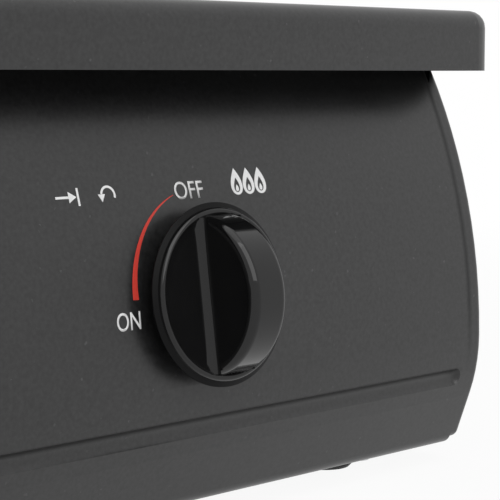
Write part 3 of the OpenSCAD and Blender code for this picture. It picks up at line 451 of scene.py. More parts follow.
@dataclass(frozen=True)
class KnobPlastic(Finish):
    """Polished moulded plastic of the knobs, left matt round the skirt's wall."""

    roughness: float = 0.07
    shine: float = 0.36
    matt_roughness: float = 0.4
    matt_shine: float = 0.08
    haze: Pair = (-0.015, 0.03)
    face: PanelFace = PanelFace()
    wall: Pair = (21.7, 21.9)

    def coat(self, board: Board) -> None:
        """Lays out handling haze, the mould's faint ripple and the matt wall.

        Args:
            board: Board of the material.
        """
        drift = board.noise(9, 4)
        wall = board.spread(self.radius(board), 0, 1, self.wall[0] * MM, self.wall[1] * MM)
        haze = board.spread(drift, *(self.roughness + step for step in self.haze))
        matt = board.maths("MULTIPLY", wall, self.matt_roughness - self.roughness)
        board.put(base_color=board.mixed(board.spread(drift, 0, 1), self.tone(0.9), self.tone(1.1)))
        board.put(roughness=board.maths("ADD", haze, matt))
        board.put(specular_ior_level=board.spread(wall, self.shine, self.matt_shine, 0, 1))
        board.relief((board.noise(7, 1), 0.01))

    def radius(self, board: Board) -> Socket:
        """Distance from the axis of either knob.

        Args:
            board: Board of the material.

        Returns:
            The distance's socket, in metres.
        """
        lean = math.radians(self.face.knob_lean)
        hub = self.face.point(Side.RIGHT, 0, 0, 0)
        across = board.maths("SUBTRACT", board.maths("ABSOLUTE", board.axis("x")), hub.x)
        rise = board.maths("ADD", board.maths("MULTIPLY", board.axis("y"), math.sin(lean)),
                           board.maths("MULTIPLY", board.axis("z"), math.cos(lean)))
        up = board.maths("SUBTRACT", rise, hub.y * math.sin(lean) + hub.z * math.cos(lean))
        return board.length(across, up)


@dataclass(frozen=True)
class Moulded(Finish):
    """Matt moulded plastic, rubber, silicone or ceramic."""

    roughness: float = 0.6
    grain: float = 0.4
    depth: float = 0.02

    def coat(self, board: Board) -> None:
        """Lays out a dusty tone and a moulded grain.

        Args:
            board: Board of the material.
        """
        dust = board.noise(6, 4)
        board.put(base_color=board.mixed(board.spread(dust, 0, 1), self.tone(0.85), self.tone(1.3)))
        board.put(roughness=board.spread(dust, self.roughness - 0.06, self.roughness + 0.08))
        board.relief((board.noise(self.grain, 3), self.depth))


@dataclass(frozen=True)
class PlatedSteel(Finish):
    """Plated or drawn steel with a faint spangle."""

    grain: float = 2.5
    passivated: Colour = (0.62, 0.60, 0.52)
    roughness: Pair = (0.3, 0.42)
    rolled: float = 0.3
    rolled_depth: float = 0.004

    def coat(self, board: Board) -> None:
        """Lays out crystal cells, a pale passivation tint and rolling lines.

        Args:
            board: Board of the material.
        """
        cell = board.cells(self.grain)
        tint = board.mixed(board.spread(board.noise(18, 2), 0, 1), self.tone(0.95), self.passivated)
        board.put(metallic=1.0, base_color=board.mixed(board.spread(cell, 0, 0.5), tint, self.tone(1.15)))
        board.put(roughness=board.spread(cell, *self.roughness, 0.1, 0.9))
        board.relief((board.noise(self.rolled, 3, board.mapped((1, 0.08, 1))), self.rolled_depth))


@dataclass(frozen=True)
class SpunSteel(Finish):
    """Spun stainless sheet, ringed round its own axis and tinted by heat."""

    centre: Pair = (0.0, 0.0)
    hot_r: float = 52.0
    cold_r: float = 78.0
    wander: float = 6.0
    blue: Colour = (0.42, 0.43, 0.48)
    plum: Colour = (0.50, 0.45, 0.46)
    straw: Colour = (0.58, 0.51, 0.42)
    roughness: Pair = (0.2, 0.34)

    def coat(self, board: Board) -> None:
        """Lays out rings by radius and straw to blue heat colours near the flame.

        Args:
            board: Board of the material.
        """
        place = board.mapped(offset=(-self.centre[0] * MM, -self.centre[1] * MM, 0))
        x, y = board.axis("x", place), board.axis("y", place)
        radius = board.length(x, y)
        wander = board.maths("MULTIPLY", board.spread(board.noise(24, 3), -1, 1), self.wander * MM)
        heat = board.spread(board.maths("ADD", radius, wander), 0, 1, self.hot_r * MM, self.cold_r * MM)
        tint = board.tones(heat, (0.0, self.blue), (0.22, self.plum), (0.5, self.straw), (1.0, self.colour))
        rings = board.line_noise(radius, 0.35)
        board.put(metallic=1.0, base_color=board.mixed(board.spread(rings, 0, 0.35), tint, self.tone(0.8)))
        board.put(roughness=board.spread(rings, *self.roughness))
        board.relief((rings, 0.006), (board.line_noise(radius, 2.2, 1), 0.01))


@dataclass(frozen=True)
class SandCast(Finish):
    """Cast metal with the grain of its mould left on it."""

    metal: float = 0.0
    roughness: float = 0.66
    grain: float = 0.7
    depth: float = 0.05
    scorch: Colour = (0.05, 0.04, 0.035)

    def coat(self, board: Board) -> None:
        """Lays out a pitted grain and cloudy scorching.

        Args:
            board: Board of the material.
        """
        cloud = board.noise(14, 4)
        grit = board.noise(self.grain, 4)
        tone = board.mixed(board.spread(cloud, 0, 1, 0.42, 0.7), self.colour, self.scorch)
        tone = board.mixed(board.spread(grit, 0, 0.5), tone, self.tone(1.35))
        board.put(metallic=self.metal, base_color=tone)
        board.put(roughness=board.spread(grit, self.roughness - 0.1, self.roughness + 0.1))
        board.relief((grit, self.depth), (board.noise(3.5, 2), self.depth))


@dataclass(frozen=True)
class Enamel(Finish):
    """Vitreous enamel on castings, rubbed grey where pans slide."""

    rub_z: float = 159.0
    rub_depth: float = 0.5
    rub_haze: float = 0.2
    rubbed: Colour = (0.11, 0.11, 0.11)
    roughness: Pair = (0.2, 0.32)

    def coat(self, board: Board) -> None:
        """Lays out a glassy coat with a soft peel, and rubbing on the bearing faces.

        Args:
            board: Board of the material.
        """
        patchy = board.spread(board.noise(3, 4), 0, 1, 0.35, 0.75)
        top = board.spread(board.axis("z"), 0, 1, (self.rub_z - self.rub_depth) * MM, self.rub_z * MM)
        rub = board.maths("MULTIPLY", patchy, top)
        board.put(base_color=board.mixed(rub, self.colour, self.rubbed))
        board.put(roughness=board.maths("ADD", board.spread(board.noise(1.2, 2), *self.roughness),
                                        board.maths("MULTIPLY", rub, self.rub_haze)))
        board.relief((board.noise(2.6, 2), 0.05), (board.noise(0.5, 2), 0.012))


@dataclass(frozen=True)
class TurnedBrass(Finish):
    """Brass turned in a lathe along the y axis."""

    tarnished: Colour = (0.42, 0.27, 0.12)
    tarnish_haze: float = 0.15
    roughness: Pair = (0.18, 0.3)

    def coat(self, board: Board) -> None:
        """Lays out tool lines and a slight tarnish.

        Args:
            board: Board of the material.
        """
        lines = board.line_noise(board.axis("y"), 0.3)
        tarnish = board.spread(board.noise(5, 4), 0, 1, 0.45, 0.75)
        board.put(metallic=1.0, base_color=board.mixed(tarnish, self.colour, self.tarnished))
        board.put(roughness=board.maths("ADD", board.spread(lines, *self.roughness),
                                        board.maths("MULTIPLY", tarnish, self.tarnish_haze)))
        board.relief((lines, 0.008))


@dataclass(frozen=True)
class Print(Finish):
    """Screen printed ink."""

    roughness: Pair = (0.42, 0.52)

    def coat(self, board: Board) -> None:
        """Lays out a slightly uneven film of ink.

        Args:
            board: Board of the material.
        """
        film = board.noise(0.5, 3)
        board.put(base_color=board.mixed(board.spread(film, 0, 1), self.tone(0.95), self.tone(1.03)))
        board.put(roughness=board.spread(film, *self.roughness))
        board.relief((film, 0.004))


CHARCOAL = (0.012, 0.012, 0.0122)
PAINT = SatinPaint("charcoal_paint", CHARCOAL)
# The front panel's paint carries painted shade along its upright ends and under the crease.
SEAMED_PAINT = SatinPaint("charcoal_paint_seamed", CHARCOAL, seam=(285.6, 288.6))
KNOB_BLACK = KnobPlastic("knob_black", (0.006, 0.006, 0.0062))
RUBBER = Moulded("foot_rubber", (0.018, 0.018, 0.018), roughness=0.72, grain=0.5, depth=0.03)
IGNITER_PLASTIC = Moulded("igniter_plastic", (0.02, 0.02, 0.021), roughness=0.5, grain=0.3, depth=0.015)
CERAMIC = Moulded("ceramic", (0.74, 0.70, 0.62), roughness=0.55, grain=0.6, depth=0.01)
SPARK_JACKET = Moulded("spark_lead_jacket", (0.24, 0.03, 0.02), roughness=0.5, grain=0.8, depth=0.012)
SENSOR_JACKET = Moulded("sensor_lead_jacket", (0.22, 0.11, 0.05), roughness=0.55, grain=0.6, depth=0.012)
ZINC = PlatedSteel("zinc_plate", (0.56, 0.57, 0.58))
STAINLESS = PlatedSteel("drawn_stainless", (0.58, 0.57, 0.55), grain=0.8)
GREY_IRON = SandCast("grey_iron", (0.14, 0.14, 0.138), metal=1.0, roughness=0.62, grain=0.6,
                     scorch=(0.10, 0.085, 0.07))
DIE_CAST = SandCast("die_cast", (0.46, 0.47, 0.48), metal=1.0, roughness=0.5, grain=0.5, depth=0.03,
                    scorch=(0.36, 0.35, 0.34))
CAST_IRON = SandCast("blackened_iron", (0.022, 0.022, 0.022))
ENAMEL = Enamel("support_enamel", (0.008, 0.008, 0.0085))
BRASS = TurnedBrass("turned_brass", (0.70, 0.47, 0.19))
WHITE_INK = Print("white_ink", (0.86, 0.86, 0.86))
RED_INK = Print("red_ink", (0.62, 0.045, 0.03))


def dress(node: str, finish: Finish) -> None:
    """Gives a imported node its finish.

    Args:
        node: Name of the node.
        finish: Finish to lay on it.
    """
    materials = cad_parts[node].data.materials
    materials.clear()
    materials.append(finish.material())
    log.info("%s: %s", node, finish.name)


def settle(name: str, bm: bmesh.types.BMesh, finish: Finish, body: str) -> bpy.types.Object:
    """Turns a finished mesh into a piece that rides on a body.

    Args:
        name: Name of the piece.
        bm: Mesh in metres, in place.
        finish: Finish of the piece.
        body: Body that it rides on.

    Returns:
        The piece.
    """
    mesh = bpy.data.meshes.new(name)
    bm.to_mesh(mesh)
    bm.free()
    mesh.materials.append(finish.material())
    piece = bpy.data.objects.new(name, mesh)
    bpy.context.scene.collection.objects.link(piece)
    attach(piece, body)
    log.info("%s: %d faces on %s", name, len(mesh.polygons), body)
    return piece


def only(made: list, kind: type) -> list:
    """The points, edges or faces among what an operator made."""
    return [part for part in made if isinstance(part, kind)]


def outline(bm: bmesh.types.BMesh, verts: list) -> list:
    """Edges at the points of a ring, in the mesh's own order."""
    bm.edges.index_update()
    return sorted({edge for v in verts for edge in v.link_edges}, key=lambda edge: edge.index)


@dataclass
class Screws:
    """Pan-head screws with a cross recess, in place of one node's plain ones."""

    node: str
    seats: tuple[Point, ...]
    faces: Point
    shank: float
    shank_r: float = 1.5
    head_r: float = 3.2
    head_h: float = 1.6
    edge_r: float = 0.7
    arm: Pair = (1.75, 0.42)
    recess: float = 0.9
    recess_taper: float = 0.75
    head_sides: int = 40
    shank_sides: int = 24
    edge_steps: int = 4

    def build(self) -> None:
        """Makes the screws as one piece."""
        turn = Vector(self.faces).to_track_quat("Z", "Y").to_matrix().to_4x4()
        bm = bmesh.new()
        for seat in self.seats:
            one = bpy.data.meshes.new(self.node)
            self.screw(one)
            one.transform(Matrix.Scale(MM, 4) @ Matrix.Translation(seat) @ turn)
            bm.from_mesh(one)
            bpy.data.meshes.remove(one)
        piece = settle(f"{self.node}_crossed", bm, ZINC, "chassis")
        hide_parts(self.node)

    def screw(self, mesh: bpy.types.Mesh) -> None:
        """Models one screw, with its head's seat at the origin and its head along z.

        Args:
            mesh: Empty mesh that takes the screw, in mm.
        """
        bm = bmesh.new()
        head = bmesh.ops.create_circle(bm, segments=self.head_sides, radius=self.head_r, cap_ends=True)
        top = self.raised(bm, outline(bm, head["verts"]), self.head_h - self.edge_r, 1)
        flat_r = self.head_r - self.edge_r
        for step in range(self.edge_steps):
            last, turn = (math.pi / 2 * i / self.edge_steps for i in (step, step + 1))
            rise = self.edge_r * (math.sin(turn) - math.sin(last))
            old_r, new_r = (flat_r + self.edge_r * math.cos(angle) for angle in (last, turn))
            top = self.raised(bm, top, rise, new_r / old_r)
        cross = self.cross(bm)
        bmesh.ops.triangle_fill(bm, edges=top + cross, use_beauty=True)
        floor = self.raised(bm, cross, -self.recess, self.recess_taper)
        bmesh.ops.triangle_fill(bm, edges=floor, use_beauty=True)
        middle = Matrix.Translation((0, 0, -self.shank / 2))
        bmesh.ops.create_cone(bm, segments=self.shank_sides, radius1=self.shank_r, radius2=self.shank_r,
                              depth=self.shank, cap_ends=True, matrix=middle)
        bmesh.ops.recalc_face_normals(bm, faces=bm.faces)
        bm.to_mesh(mesh)
        bm.free()

    def raised(self, bm: bmesh.types.BMesh, loop: list, rise: float, scale: float) -> list:
        """Extrudes a loop along the screw.

        Args:
            bm: Mesh of the screw.
            loop: Edges to extrude.
            rise: Height that the new loop gains.
            scale: Its width against the old loop's.

        Returns:
            Edges of the new loop.
        """
        made = bmesh.ops.extrude_edge_only(bm, edges=loop)["geom"]
        place = Matrix.Translation((0, 0, rise)) @ Matrix.Diagonal((scale, scale, 1, 1))
        bmesh.ops.transform(bm, matrix=place, verts=only(made, bmesh.types.BMVert))
        return only(made, bmesh.types.BMEdge)

    def cross(self, bm: bmesh.types.BMesh) -> list:
        """Draws the recess on the head's top.

        Args:
            bm: Mesh of the screw.

        Returns:
            Edges of the recess.
        """
        verts = bmesh.ops.create_circle(bm, segments=12, radius=1)["verts"]
        long, half = self.arm
        for i, v in enumerate(verts):
            corner = ((half, long), (-half, long), (-half, half))[i % 3]
            v.co = (*(Matrix.Rotation(math.pi / 2 * (i // 3), 2) @ Vector(corner)), self.head_h)
        return outline(bm, verts)


@dataclass
class Housing:
    """Painted sheet shell with its feet and screws."""

    shell: tuple[str, ...] = ("base_pan", "front_panel", "left_side_panel", "right_side_panel",
                              "rear_panel", "top_plate")
    base_screws: tuple[Point, ...] = tuple(
        (x, y, 6.0) for x in (-257.8, 0.0, 257.8) for y in (-161.025, 166.482))
    base_shank: float = 5.8
    rear_screws: tuple[Point, ...] = tuple(
        (x, 173.482, z) for x in (-288.0, 288.0) for z in (30.0, 106.0))
    rear_shank: float = 6.8

    def build(self) -> None:
        """Dresses the shell and makes its screws."""
        for node in self.shell:
            dress(node, SEAMED_PAINT if node == "front_panel" else PAINT)
        dress("rubber_feet", RUBBER)
        Screws("base_screws", self.base_screws, (0, 0, -1), self.base_shank).build()
        Screws("rear_screws", self.rear_screws, (0, 1, 0), self.rear_shank).build()


@dataclass
class PanelPrint:
    """Marks printed round one knob: OFF, ON, a widening arc, flames and signs to push and turn.

    The letters' added weight is a share of the font's size.
    """

    side: Side
    face: PanelFace = PanelFace()
    film: float = 0.06
    letter_steps: int = 5
    letter_weight: float = 0.004
    off_at: Pair = (-1.4, 27.0)
    off_size: Pair = (10.0, 4.6)
    on_at: Pair = (-27.4, -4.0)
    on_size: Pair = (7.7, 4.5)
    flames_s: tuple[float, ...] = (16.0, 20.4, 24.8)
    flames_t: float = 24.9
    flame_shell: Pair = (4.2, 7.1)
    flame_hollow: Pair = (2.1, 3.9)
    hollow_rise: float = 0.7
    flame_heart: Pair = (1.1, 1.8)
    heart_rise: float = 0.95
    drop_sides: int = 28
    drop_belly: float = 0.65
    drop_lean: float = 0.5
    line_w: float = 0.6
    push_at: Pair = (-41.0, 27.0)
    push_plate: float = 4.4
    push_reach: float = 3.0
    push_shaft: float = 4.0
    push_head: float = 1.6
    push_head_s: float = 0.85
    turn_at: Pair = (-28.5, 27.0)
    turn_angles: Pair = (-20.0, 170.0)
    turn_r: float = 2.4
    turn_head: float = 1.3
    turn_head_drop: float = 0.35
    arc_angles: Pair = (105.5, 177.8)
    arc_outer: Pair = (27.0, 25.43)
    arc_width: Pair = (0.15, 1.85)
    arc_steps: int = 36

    def build(self) -> None:
        """Prints the white marks, then the red arc."""
        white = bmesh.new()
        self.word(white, "OFF", self.off_at, self.off_size)
        self.word(white, "ON", self.on_at, self.on_size)
        for s in self.flames_s:
            self.flame(white, s, self.flames_t)
        self.push_sign(white)
        self.turn_sign(white)
        self.lay(white, "white_print", WHITE_INK)
        red = bmesh.new()
        self.band(red, (0.0, 0.0), self.arc_angles, self.arc_outer, self.arc_width)
        self.lay(red, "red_print", RED_INK)

    def word(self, bm: bmesh.types.BMesh, text: str, at: Pair, size: Pair) -> None:
        """Adds a word.

        Args:
            bm: Flat marks so far.
            text: Letters of the word.
            at: Middle of the word.
            size: Width and height of the word in mm.
        """
        curve = bpy.data.curves.new(text, "FONT")
        curve.body = text
        curve.resolution_u = self.letter_steps
        curve.offset = self.letter_weight
        holder = bpy.data.objects.new(text, curve)
        mesh = bpy.data.meshes.new_from_object(holder)
        low, high = (Vector(map(f, zip(*(v.co for v in mesh.vertices)))) for f in (min, max))
        scale = Matrix.Diagonal((size[0] / (high.x - low.x), size[1] / (high.y - low.y), 1, 1))
        mesh.transform(Matrix.Translation((*at, 0)) @ scale @ Matrix.Translation(-(low + high) / 2))
        bm.from_mesh(mesh)
        bpy.data.objects.remove(holder)
        bpy.data.curves.remove(curve)
        bpy.data.meshes.remove(mesh)

    def drop(self, bm: bmesh.types.BMesh, s: float, t: float, size: Pair, full: bool) -> list:
        """Adds a drop that leans a little at its tip.

        Args:
            bm: Flat marks so far.
            s: Middle of the drop.
            t: Lowest point of the drop.
            size: Width and height in mm.
            full: Whether it is filled.

        Returns:
            Edges of the drop's outline.
        """
        verts = bmesh.ops.create_circle(bm, segments=self.drop_sides, radius=1, cap_ends=full)["verts"]
        for v in verts:
            turn = math.atan2(v.co.x, -v.co.y)
            rise = (1 - math.cos(turn)) / 2
            belly = self.drop_belly * size[0] * math.sin(turn) * math.cos(turn / 2)
            v.co = (s + belly + self.drop_lean * rise ** 3 * (1 - rise), t + size[1] * rise, 0)
        return outline(bm, verts)

    def flame(self, bm: bmesh.types.BMesh, s: float, t: float) -> None:
        """Adds a flame: a hollow drop with a small full one low inside it.

        Args:
            bm: Flat marks so far.
            s: Middle of the flame.
            t: Lowest point of the flame.
        """
        shell = self.drop(bm, s, t, self.flame_shell, False)
        hollow = self.drop(bm, s, t + self.hollow_rise, self.flame_hollow, False)
        bmesh.ops.bridge_loops(bm, edges=shell + hollow)
        self.drop(bm, s, t + self.heart_rise, self.flame_heart, True)

    def band(self, bm: bmesh.types.BMesh, centre: Pair, angles: Pair, outer: Pair, width: Pair) -> None:
        """Adds an arc.

        Args:
            bm: Flat marks so far.
            centre: Middle of the arc's circle.
            angles: Start and end, in degrees from the right.
            outer: Outer radius at the start and end.
            width: Width at the start and end.
        """
        for v in bmesh.ops.create_grid(bm, x_segments=self.arc_steps, y_segments=1, size=0.5)["verts"]:
            share, inwards = v.co.x + 0.5, v.co.y + 0.5
            angle = math.radians(angles[0] + share * (angles[1] - angles[0]))
            thick = width[0] + share * (width[1] - width[0])
            r = outer[0] + share * (outer[1] - outer[0]) - inwards * thick
            v.co = (centre[0] + r * math.cos(angle), centre[1] + r * math.sin(angle), 0)

    def bar(self, bm: bmesh.types.BMesh, at: Pair, size: Pair) -> None:
        """Adds a bar, by its middle and its width and height."""
        place = Matrix.Translation((*at, 0)) @ Matrix.Diagonal((*size, 1, 1))
        bmesh.ops.create_grid(bm, x_segments=1, y_segments=1, size=0.5, matrix=place)

    def arrow_head(self, bm: bmesh.types.BMesh, at: Pair, size: float, turn: float) -> None:
        """Adds an arrow's head, turned from pointing up by degrees."""
        place = Matrix.Translation((*at, 0)) @ Matrix.Rotation(math.radians(turn), 4, "Z")
        bmesh.ops.create_circle(bm, segments=3, radius=size, cap_ends=True, matrix=place)

    def push_sign(self, bm: bmesh.types.BMesh) -> None:
        """Adds an arrow that presses on a plate.

        Args:
            bm: Flat marks so far.
        """
        s, t = self.push_at
        self.bar(bm, (s + self.push_reach, t), (self.line_w, self.push_plate))
        self.bar(bm, (s - self.push_shaft / 2, t), (self.push_shaft, self.line_w))
        self.arrow_head(bm, (s + self.push_head_s, t), self.push_head, -90)

    def turn_sign(self, bm: bmesh.types.BMesh) -> None:
        """Adds an arrow that turns counter-clockwise.

        Args:
            bm: Flat marks so far.
        """
        s, t = self.turn_at
        self.band(bm, (s, t), self.turn_angles, (self.turn_r,) * 2, (self.line_w,) * 2)
        middle = (s - self.turn_r + self.line_w / 2, t - self.turn_head_drop)
        self.arrow_head(bm, middle, self.turn_head, 180)

    def lay(self, bm: bmesh.types.BMesh, name: str, ink: Print) -> None:
        """Gives flat marks the ink's thickness and bends them onto the panel.

        Args:
            bm: Flat marks in mm.
            name: Name of the print, without its side.
            ink: Ink of the print.
        """
        bmesh.ops.remove_doubles(bm, verts=bm.verts, dist=1e-4)
        top = bmesh.ops.extrude_face_region(bm, geom=bm.faces[:])["geom"]
        bmesh.ops.translate(bm, verts=only(top, bmesh.types.BMVert), vec=(0, 0, self.film))
        for v in bm.verts:
            v.co = self.face.point(self.side, *v.co)
        bmesh.ops.recalc_face_normals(bm, faces=bm.faces)
        settle(f"{self.side.word}_{name}", bm, ink, "chassis")


def tube(path: list[Vector], radius: float, sides: int = 14) -> bmesh.types.BMesh:
    """Round tube along a path.

    Args:
        path: Points of its middle line.
        radius: Radius of the tube, in the path's unit.
        sides: Faces round the tube.

    Returns:
        The closed tube.
    """
    bm = bmesh.new()
    ahead = (path[1] - path[0]).normalized()
    place = Matrix.Translation(path[0]) @ ahead.to_track_quat("Z", "Y").to_matrix().to_4x4()
    ring = bmesh.ops.create_circle(bm, segments=sides, radius=radius, cap_ends=True, matrix=place)["verts"]
    edges = outline(bm, ring)
    for i in range(1, len(path)):
        after = (path[min(i + 1, len(path) - 1)] - path[i - 1]).normalized()
        made = bmesh.ops.extrude_edge_only(bm, edges=edges)["geom"]
        edges = only(made, bmesh.types.BMEdge)
        step = (Matrix.Translation(path[i]) @ ahead.rotation_difference(after).to_matrix().to_4x4()
                @ Matrix.Translation(-path[i - 1]))
        bmesh.ops.transform(bm, matrix=step, verts=only(made, bmesh.types.BMVert))
        ahead = after
    bmesh.ops.contextual_create(bm, geom=edges)
    for face in bm.faces:
        face.smooth = len(face.verts) == 4
    bmesh.ops.recalc_face_normals(bm, faces=bm.faces)
    return bm


@dataclass
class Lead:
    """Insulated lead inside the body, from one piece of the stove to another."""

    side: Side
    node: str
    points: tuple[Point, ...]
    radius: float
    finish: Finish
    slot: str = "lead_jacket"
    stretches: int = 36

    def route(self) -> list[Vector]:
        """Smooth line through the lead's points.

        Returns:
            Points of the line in metres.
        """
        knots = [Vector(self.side.across(p)) * MM for p in self.points]
        knots = [2 * knots[0] - knots[1], *knots, 2 * knots[-1] - knots[-2]]
        steps = self.stretches // (len(self.points) - 1)
        line = []
        for a, b, c, d in zip(knots, knots[1:], knots[2:], knots[3:]):
            for i in range(steps):
                u = i / steps
                # Catmull-Rom curve from b to c
                line.append((2 * b + (c - a) * u + (2 * a - 5 * b + 4 * c - d) * u ** 2
                             + (3 * b - a - 3 * c + d) * u ** 3) / 2)
        return [*line, knots[-2]]

    def build(self) -> None:
        """Lays the lead in place of its plain solid."""
        line = self.route()
        node = f"{self.side.word}_{self.node}"
        piece = settle(f"{node}_jacket", tube(line, self.radius * MM), self.finish, "chassis")
        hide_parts(node)


@dataclass
class ReturnSpring:
    """Wound spring behind a knob, which pushes it out again."""

    side: Side
    face: PanelFace = PanelFace()
    coil_r: float = 6.0
    wire_r: float = 0.45
    ends: Pair = (-21.45, -9.55)
    turns: int = 5
    turn_steps: int = 28
    wire_sides: int = 12
    seat: float = -22.0
    push: float = 2.2

    def build(self) -> None:
        """Winds the spring in place of its plain solid."""
        lean = math.radians(self.face.knob_lean)
        out = Vector((0, -math.cos(lean), math.sin(lean)))
        up = Vector((0, math.sin(lean), math.cos(lean)))
        middle = self.face.point(self.side, 0, 0, 0)
        low, high = self.ends
        steps = self.turns * self.turn_steps
        line = []
        for i in range(steps + 1):
            share = i / steps
            angle = 2 * math.pi * self.turns * share
            ring = Vector((math.cos(angle), 0, 0)) + up * math.sin(angle)
            line.append(middle + (out * (low + share * (high - low)) + ring * self.coil_r) * MM)
        node = f"{self.side.word}_return_spring"
        wire = tube(line, self.wire_r * MM, self.wire_sides)
        piece = settle(f"{node}_wire", wire, STAINLESS, "chassis")
        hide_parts(node)
        f"{self.side.word}_knob_push"
        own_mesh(piece)


@dataclass
class GasWay:
    """Pipe from the inlet to the valves."""

    def build(self) -> None:
        """Dresses the pipe, its brackets and the inlet."""
        dress("gas_pipe", ZINC)
        dress("pipe_brackets", ZINC)
        dress("inlet_nipple", BRASS)


@dataclass
class Burner:
    """Burner, tray and pan support of one side."""

    side: Side
    axis: Pair = (156.0, 8.482)
    tray_colour: Colour = (0.56, 0.55, 0.535)
    spark_r: float = 1.5
    sensor_r: float = 1.2
    spark_route: tuple[Point, ...] = (
        (158, -120.116, 55.598), (157.6, -110, 54.6), (154.6, -92, 53.6), (153.4, -70, 54.4),
        (154.6, -51.5, 60.2), (155.8, -40.6, 70.6), (156, -37.018, 81.6))
    sensor_route: tuple[Point, ...] = (
        (178.75, -30.922, 84.8), (178.75, -32.128, 80.3), (178.75, -35.422, 77.006),
        (178.7, -39.922, 75.8), (178.3, -49.5, 76.4), (177.3, -67, 78.4), (176.9, -85, 80.8),
        (177.6, -103, 82.6), (179.4, -112, 83.2), (179.9, -118.225, 82.7), (180, -122.725, 81.55),
        (180, -126.02, 78.365), (180, -127.225, 73.865))

    def build(self) -> None:
        """Dresses the pieces of the burner and lays its leads."""
        word = self.side.word
        centre = (self.axis[0] * self.side.value, self.axis[1])
        rings = SpunSteel(f"{word}_spun_stainless", self.tray_colour, centre)
        finishes = {"drip_tray": rings, "pan_support": ENAMEL, "burner_cap": CAST_IRON,
                    "burner_body": GREY_IRON, "burner_stand": ZINC, "air_shutter": ZINC,
                    "igniter": IGNITER_PLASTIC, "insulator": CERAMIC, "spark_wire": STAINLESS,
                    "flame_sensor": STAINLESS}
        for node, finish in finishes.items():
            dress(f"{word}_{node}", finish)
        Lead(self.side, "spark_lead", self.spark_route, self.spark_r, SPARK_JACKET).build()
        Lead(self.side, "sensor_lead", self.sensor_route, self.sensor_r, SENSOR_JACKET).build()


@dataclass
class Valve:
    """Gas valve and knob of one side, with the marks printed round the knob."""

    side: Side

    def build(self) -> None:
        """Dresses the valve and its knob, winds the spring and prints the marks."""
        finishes = {"valve_body": DIE_CAST, "injector": BRASS, "push_sleeve": ZINC, "valve_stem": BRASS,
                    "knob": KNOB_BLACK}
        for node, finish in finishes.items():
            dress(f"{self.side.word}_{node}", finish)
        ReturnSpring(self.side).build()
        PanelPrint(self.side).build()


@dataclass(frozen=True)
class Softbox:
    """Soft lamp, with its places and width in metres and its power in watts."""

    name: str
    at: Point
    aim: Point
    size: float
    power: float

    def hang(self) -> None:
        """Puts the lamp up, out of the camera's sight."""
        data = bpy.data.lights.new(self.name, "AREA")
        data.size, data.energy = self.size, self.power
        lamp = bpy.data.objects.new(self.name, data)
        lamp.visible_camera = False
        bpy.context.scene.collection.objects.link(lamp)
        turn = (Vector(self.aim) - Vector(self.at)).to_track_quat("-Z", "Y").to_matrix().to_4x4()
        lamp.matrix_world = Matrix.Translation(Vector(self.at)) @ turn


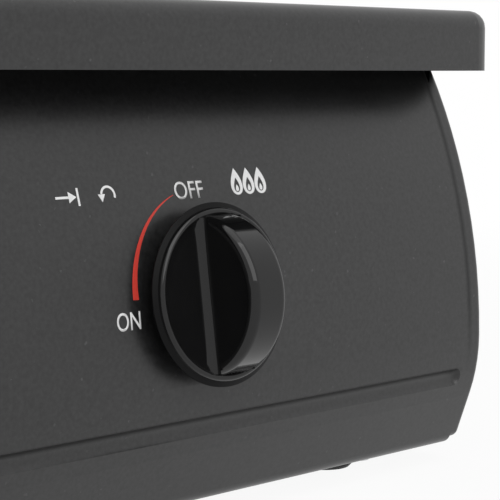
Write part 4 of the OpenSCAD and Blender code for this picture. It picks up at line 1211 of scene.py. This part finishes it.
@dataclass
class Studio:
    """Camera, pale floor and soft light; the floor's size and its fade to white are in metres."""

    eye: Point = (-136.8, -498.505, 116.5)
    yaw: float = 45.94
    pitch: float = 5.58
    lens: float = 129.6
    sensor: float = 36.0
    glow: float = 0.3
    floor_half: float = 6.0
    floor_colour: Colour = (0.85, 0.85, 0.85)
    floor_roughness: float = 0.8
    near_white: float = 0.93
    fade: Pair = (0.5, 1.1)
    lamps: tuple[Softbox, ...] = (
        Softbox("top_softbox", at=(0.0, -0.1, 1.5), aim=(0.0, -0.05, 0.1), size=1.4, power=6),
        Softbox("key_softbox", at=(-0.1, -1.27, 1.2), aim=(0.1, -0.15, 0.08), size=1.5, power=15))

    def build(self) -> None:
        """Sets the studio up."""
        self.camera()
        self.world()
        self.floor()
        for lamp in self.lamps:
            lamp.hang()
        bpy.context.scene.view_settings.view_transform = "Standard"

    def camera(self) -> None:
        """Puts the camera where the photographer stood."""
        yaw, pitch = math.radians(self.yaw), math.radians(self.pitch)
        right = Vector((math.cos(yaw), -math.sin(yaw), 0))
        level = Vector((math.sin(yaw), math.cos(yaw), 0))
        ahead = level * math.cos(pitch) - Vector((0, 0, math.sin(pitch)))
        up = right.cross(ahead)
        data = bpy.data.cameras.new("camera")
        data.lens, data.sensor_width = self.lens, self.sensor
        camera = bpy.data.objects.new("camera", data)
        bpy.context.scene.collection.objects.link(camera)
        turn = Matrix((right, up, -ahead)).transposed().to_4x4()
        camera.matrix_world = Matrix.Translation(Vector(self.eye) * MM) @ turn
        bpy.context.scene.camera = camera

    def seen(self, tree: bpy.types.NodeTree) -> Socket:
        """Tells rays from the camera, off gloss or through glass from those that only light.

        Args:
            tree: Tree of the material or world.

        Returns:
            A socket that is 1 on such rays and 0 on others.
        """
        path = tree.nodes.new("ShaderNodeLightPath")
        share = path.outputs["Is Camera Ray"]
        for other in ("Is Glossy Ray", "Is Transmission Ray"):
            most = tree.nodes.new("ShaderNodeMath")
            most.operation = "MAXIMUM"
            tree.links.new(share, most.inputs[0])
            tree.links.new(path.outputs[other], most.inputs[1])
            share = most.outputs[0]
        return share

    def world(self) -> None:
        """White surroundings that light the stove gently."""
        world = bpy.data.worlds.new("studio")
        world.use_nodes = True
        tree = world.node_tree
        tree.nodes.clear()
        sky = tree.nodes.new("ShaderNodeBackground")
        level = tree.nodes.new("ShaderNodeMapRange")
        level.inputs["To Min"].default_value = self.glow
        tree.links.new(self.seen(tree), level.inputs["Value"])
        tree.links.new(level.outputs["Result"], sky.inputs["Strength"])
        sky.inputs["Color"].default_value = (1, 1, 1, 1)
        tree.links.new(sky.outputs[0], tree.nodes.new("ShaderNodeOutputWorld").inputs["Surface"])
        bpy.context.scene.world = world

    def floor(self) -> None:
        """Pale table top that keeps the stove's shadow and fades to white away from it."""
        bm = bmesh.new()
        bmesh.ops.create_grid(bm, x_segments=1, y_segments=1, size=self.floor_half)
        mesh = bpy.data.meshes.new("floor")
        bm.to_mesh(mesh)
        bm.free()
        board = Board("pale_table")
        board.put(base_color=self.floor_colour, roughness=self.floor_roughness)
        white = board.node("ShaderNodeEmission")
        both = board.node("ShaderNodeMixShader")
        away = board.node("ShaderNodeVectorMath", operation="LENGTH")
        board.join(board.place, away.inputs[0])
        white_share = board.spread(away.outputs["Value"], self.near_white, 1, *self.fade)
        board.join(board.maths("MULTIPLY", self.seen(board.tree), white_share), both.inputs[0])
        board.join(board.shader.outputs[0], both.inputs[1])
        board.join(white.outputs[0], both.inputs[2])
        out = next(n for n in board.tree.nodes if n.type == "OUTPUT_MATERIAL")
        board.join(both.outputs[0], out.inputs["Surface"])
        mesh.materials.append(board.material)
        floor = bpy.data.objects.new("floor", mesh)
        bpy.context.scene.collection.objects.link(floor)


def main() -> None:
    """Builds the stove's looks in order."""
    logging.basicConfig(level=logging.INFO, format="%(message)s")
    Studio().build()
    Housing().build()
    GasWay().build()
    for side in Side:
        Valve(side).build()
        Burner(side).build()


if __name__ == "__main__":
    main()
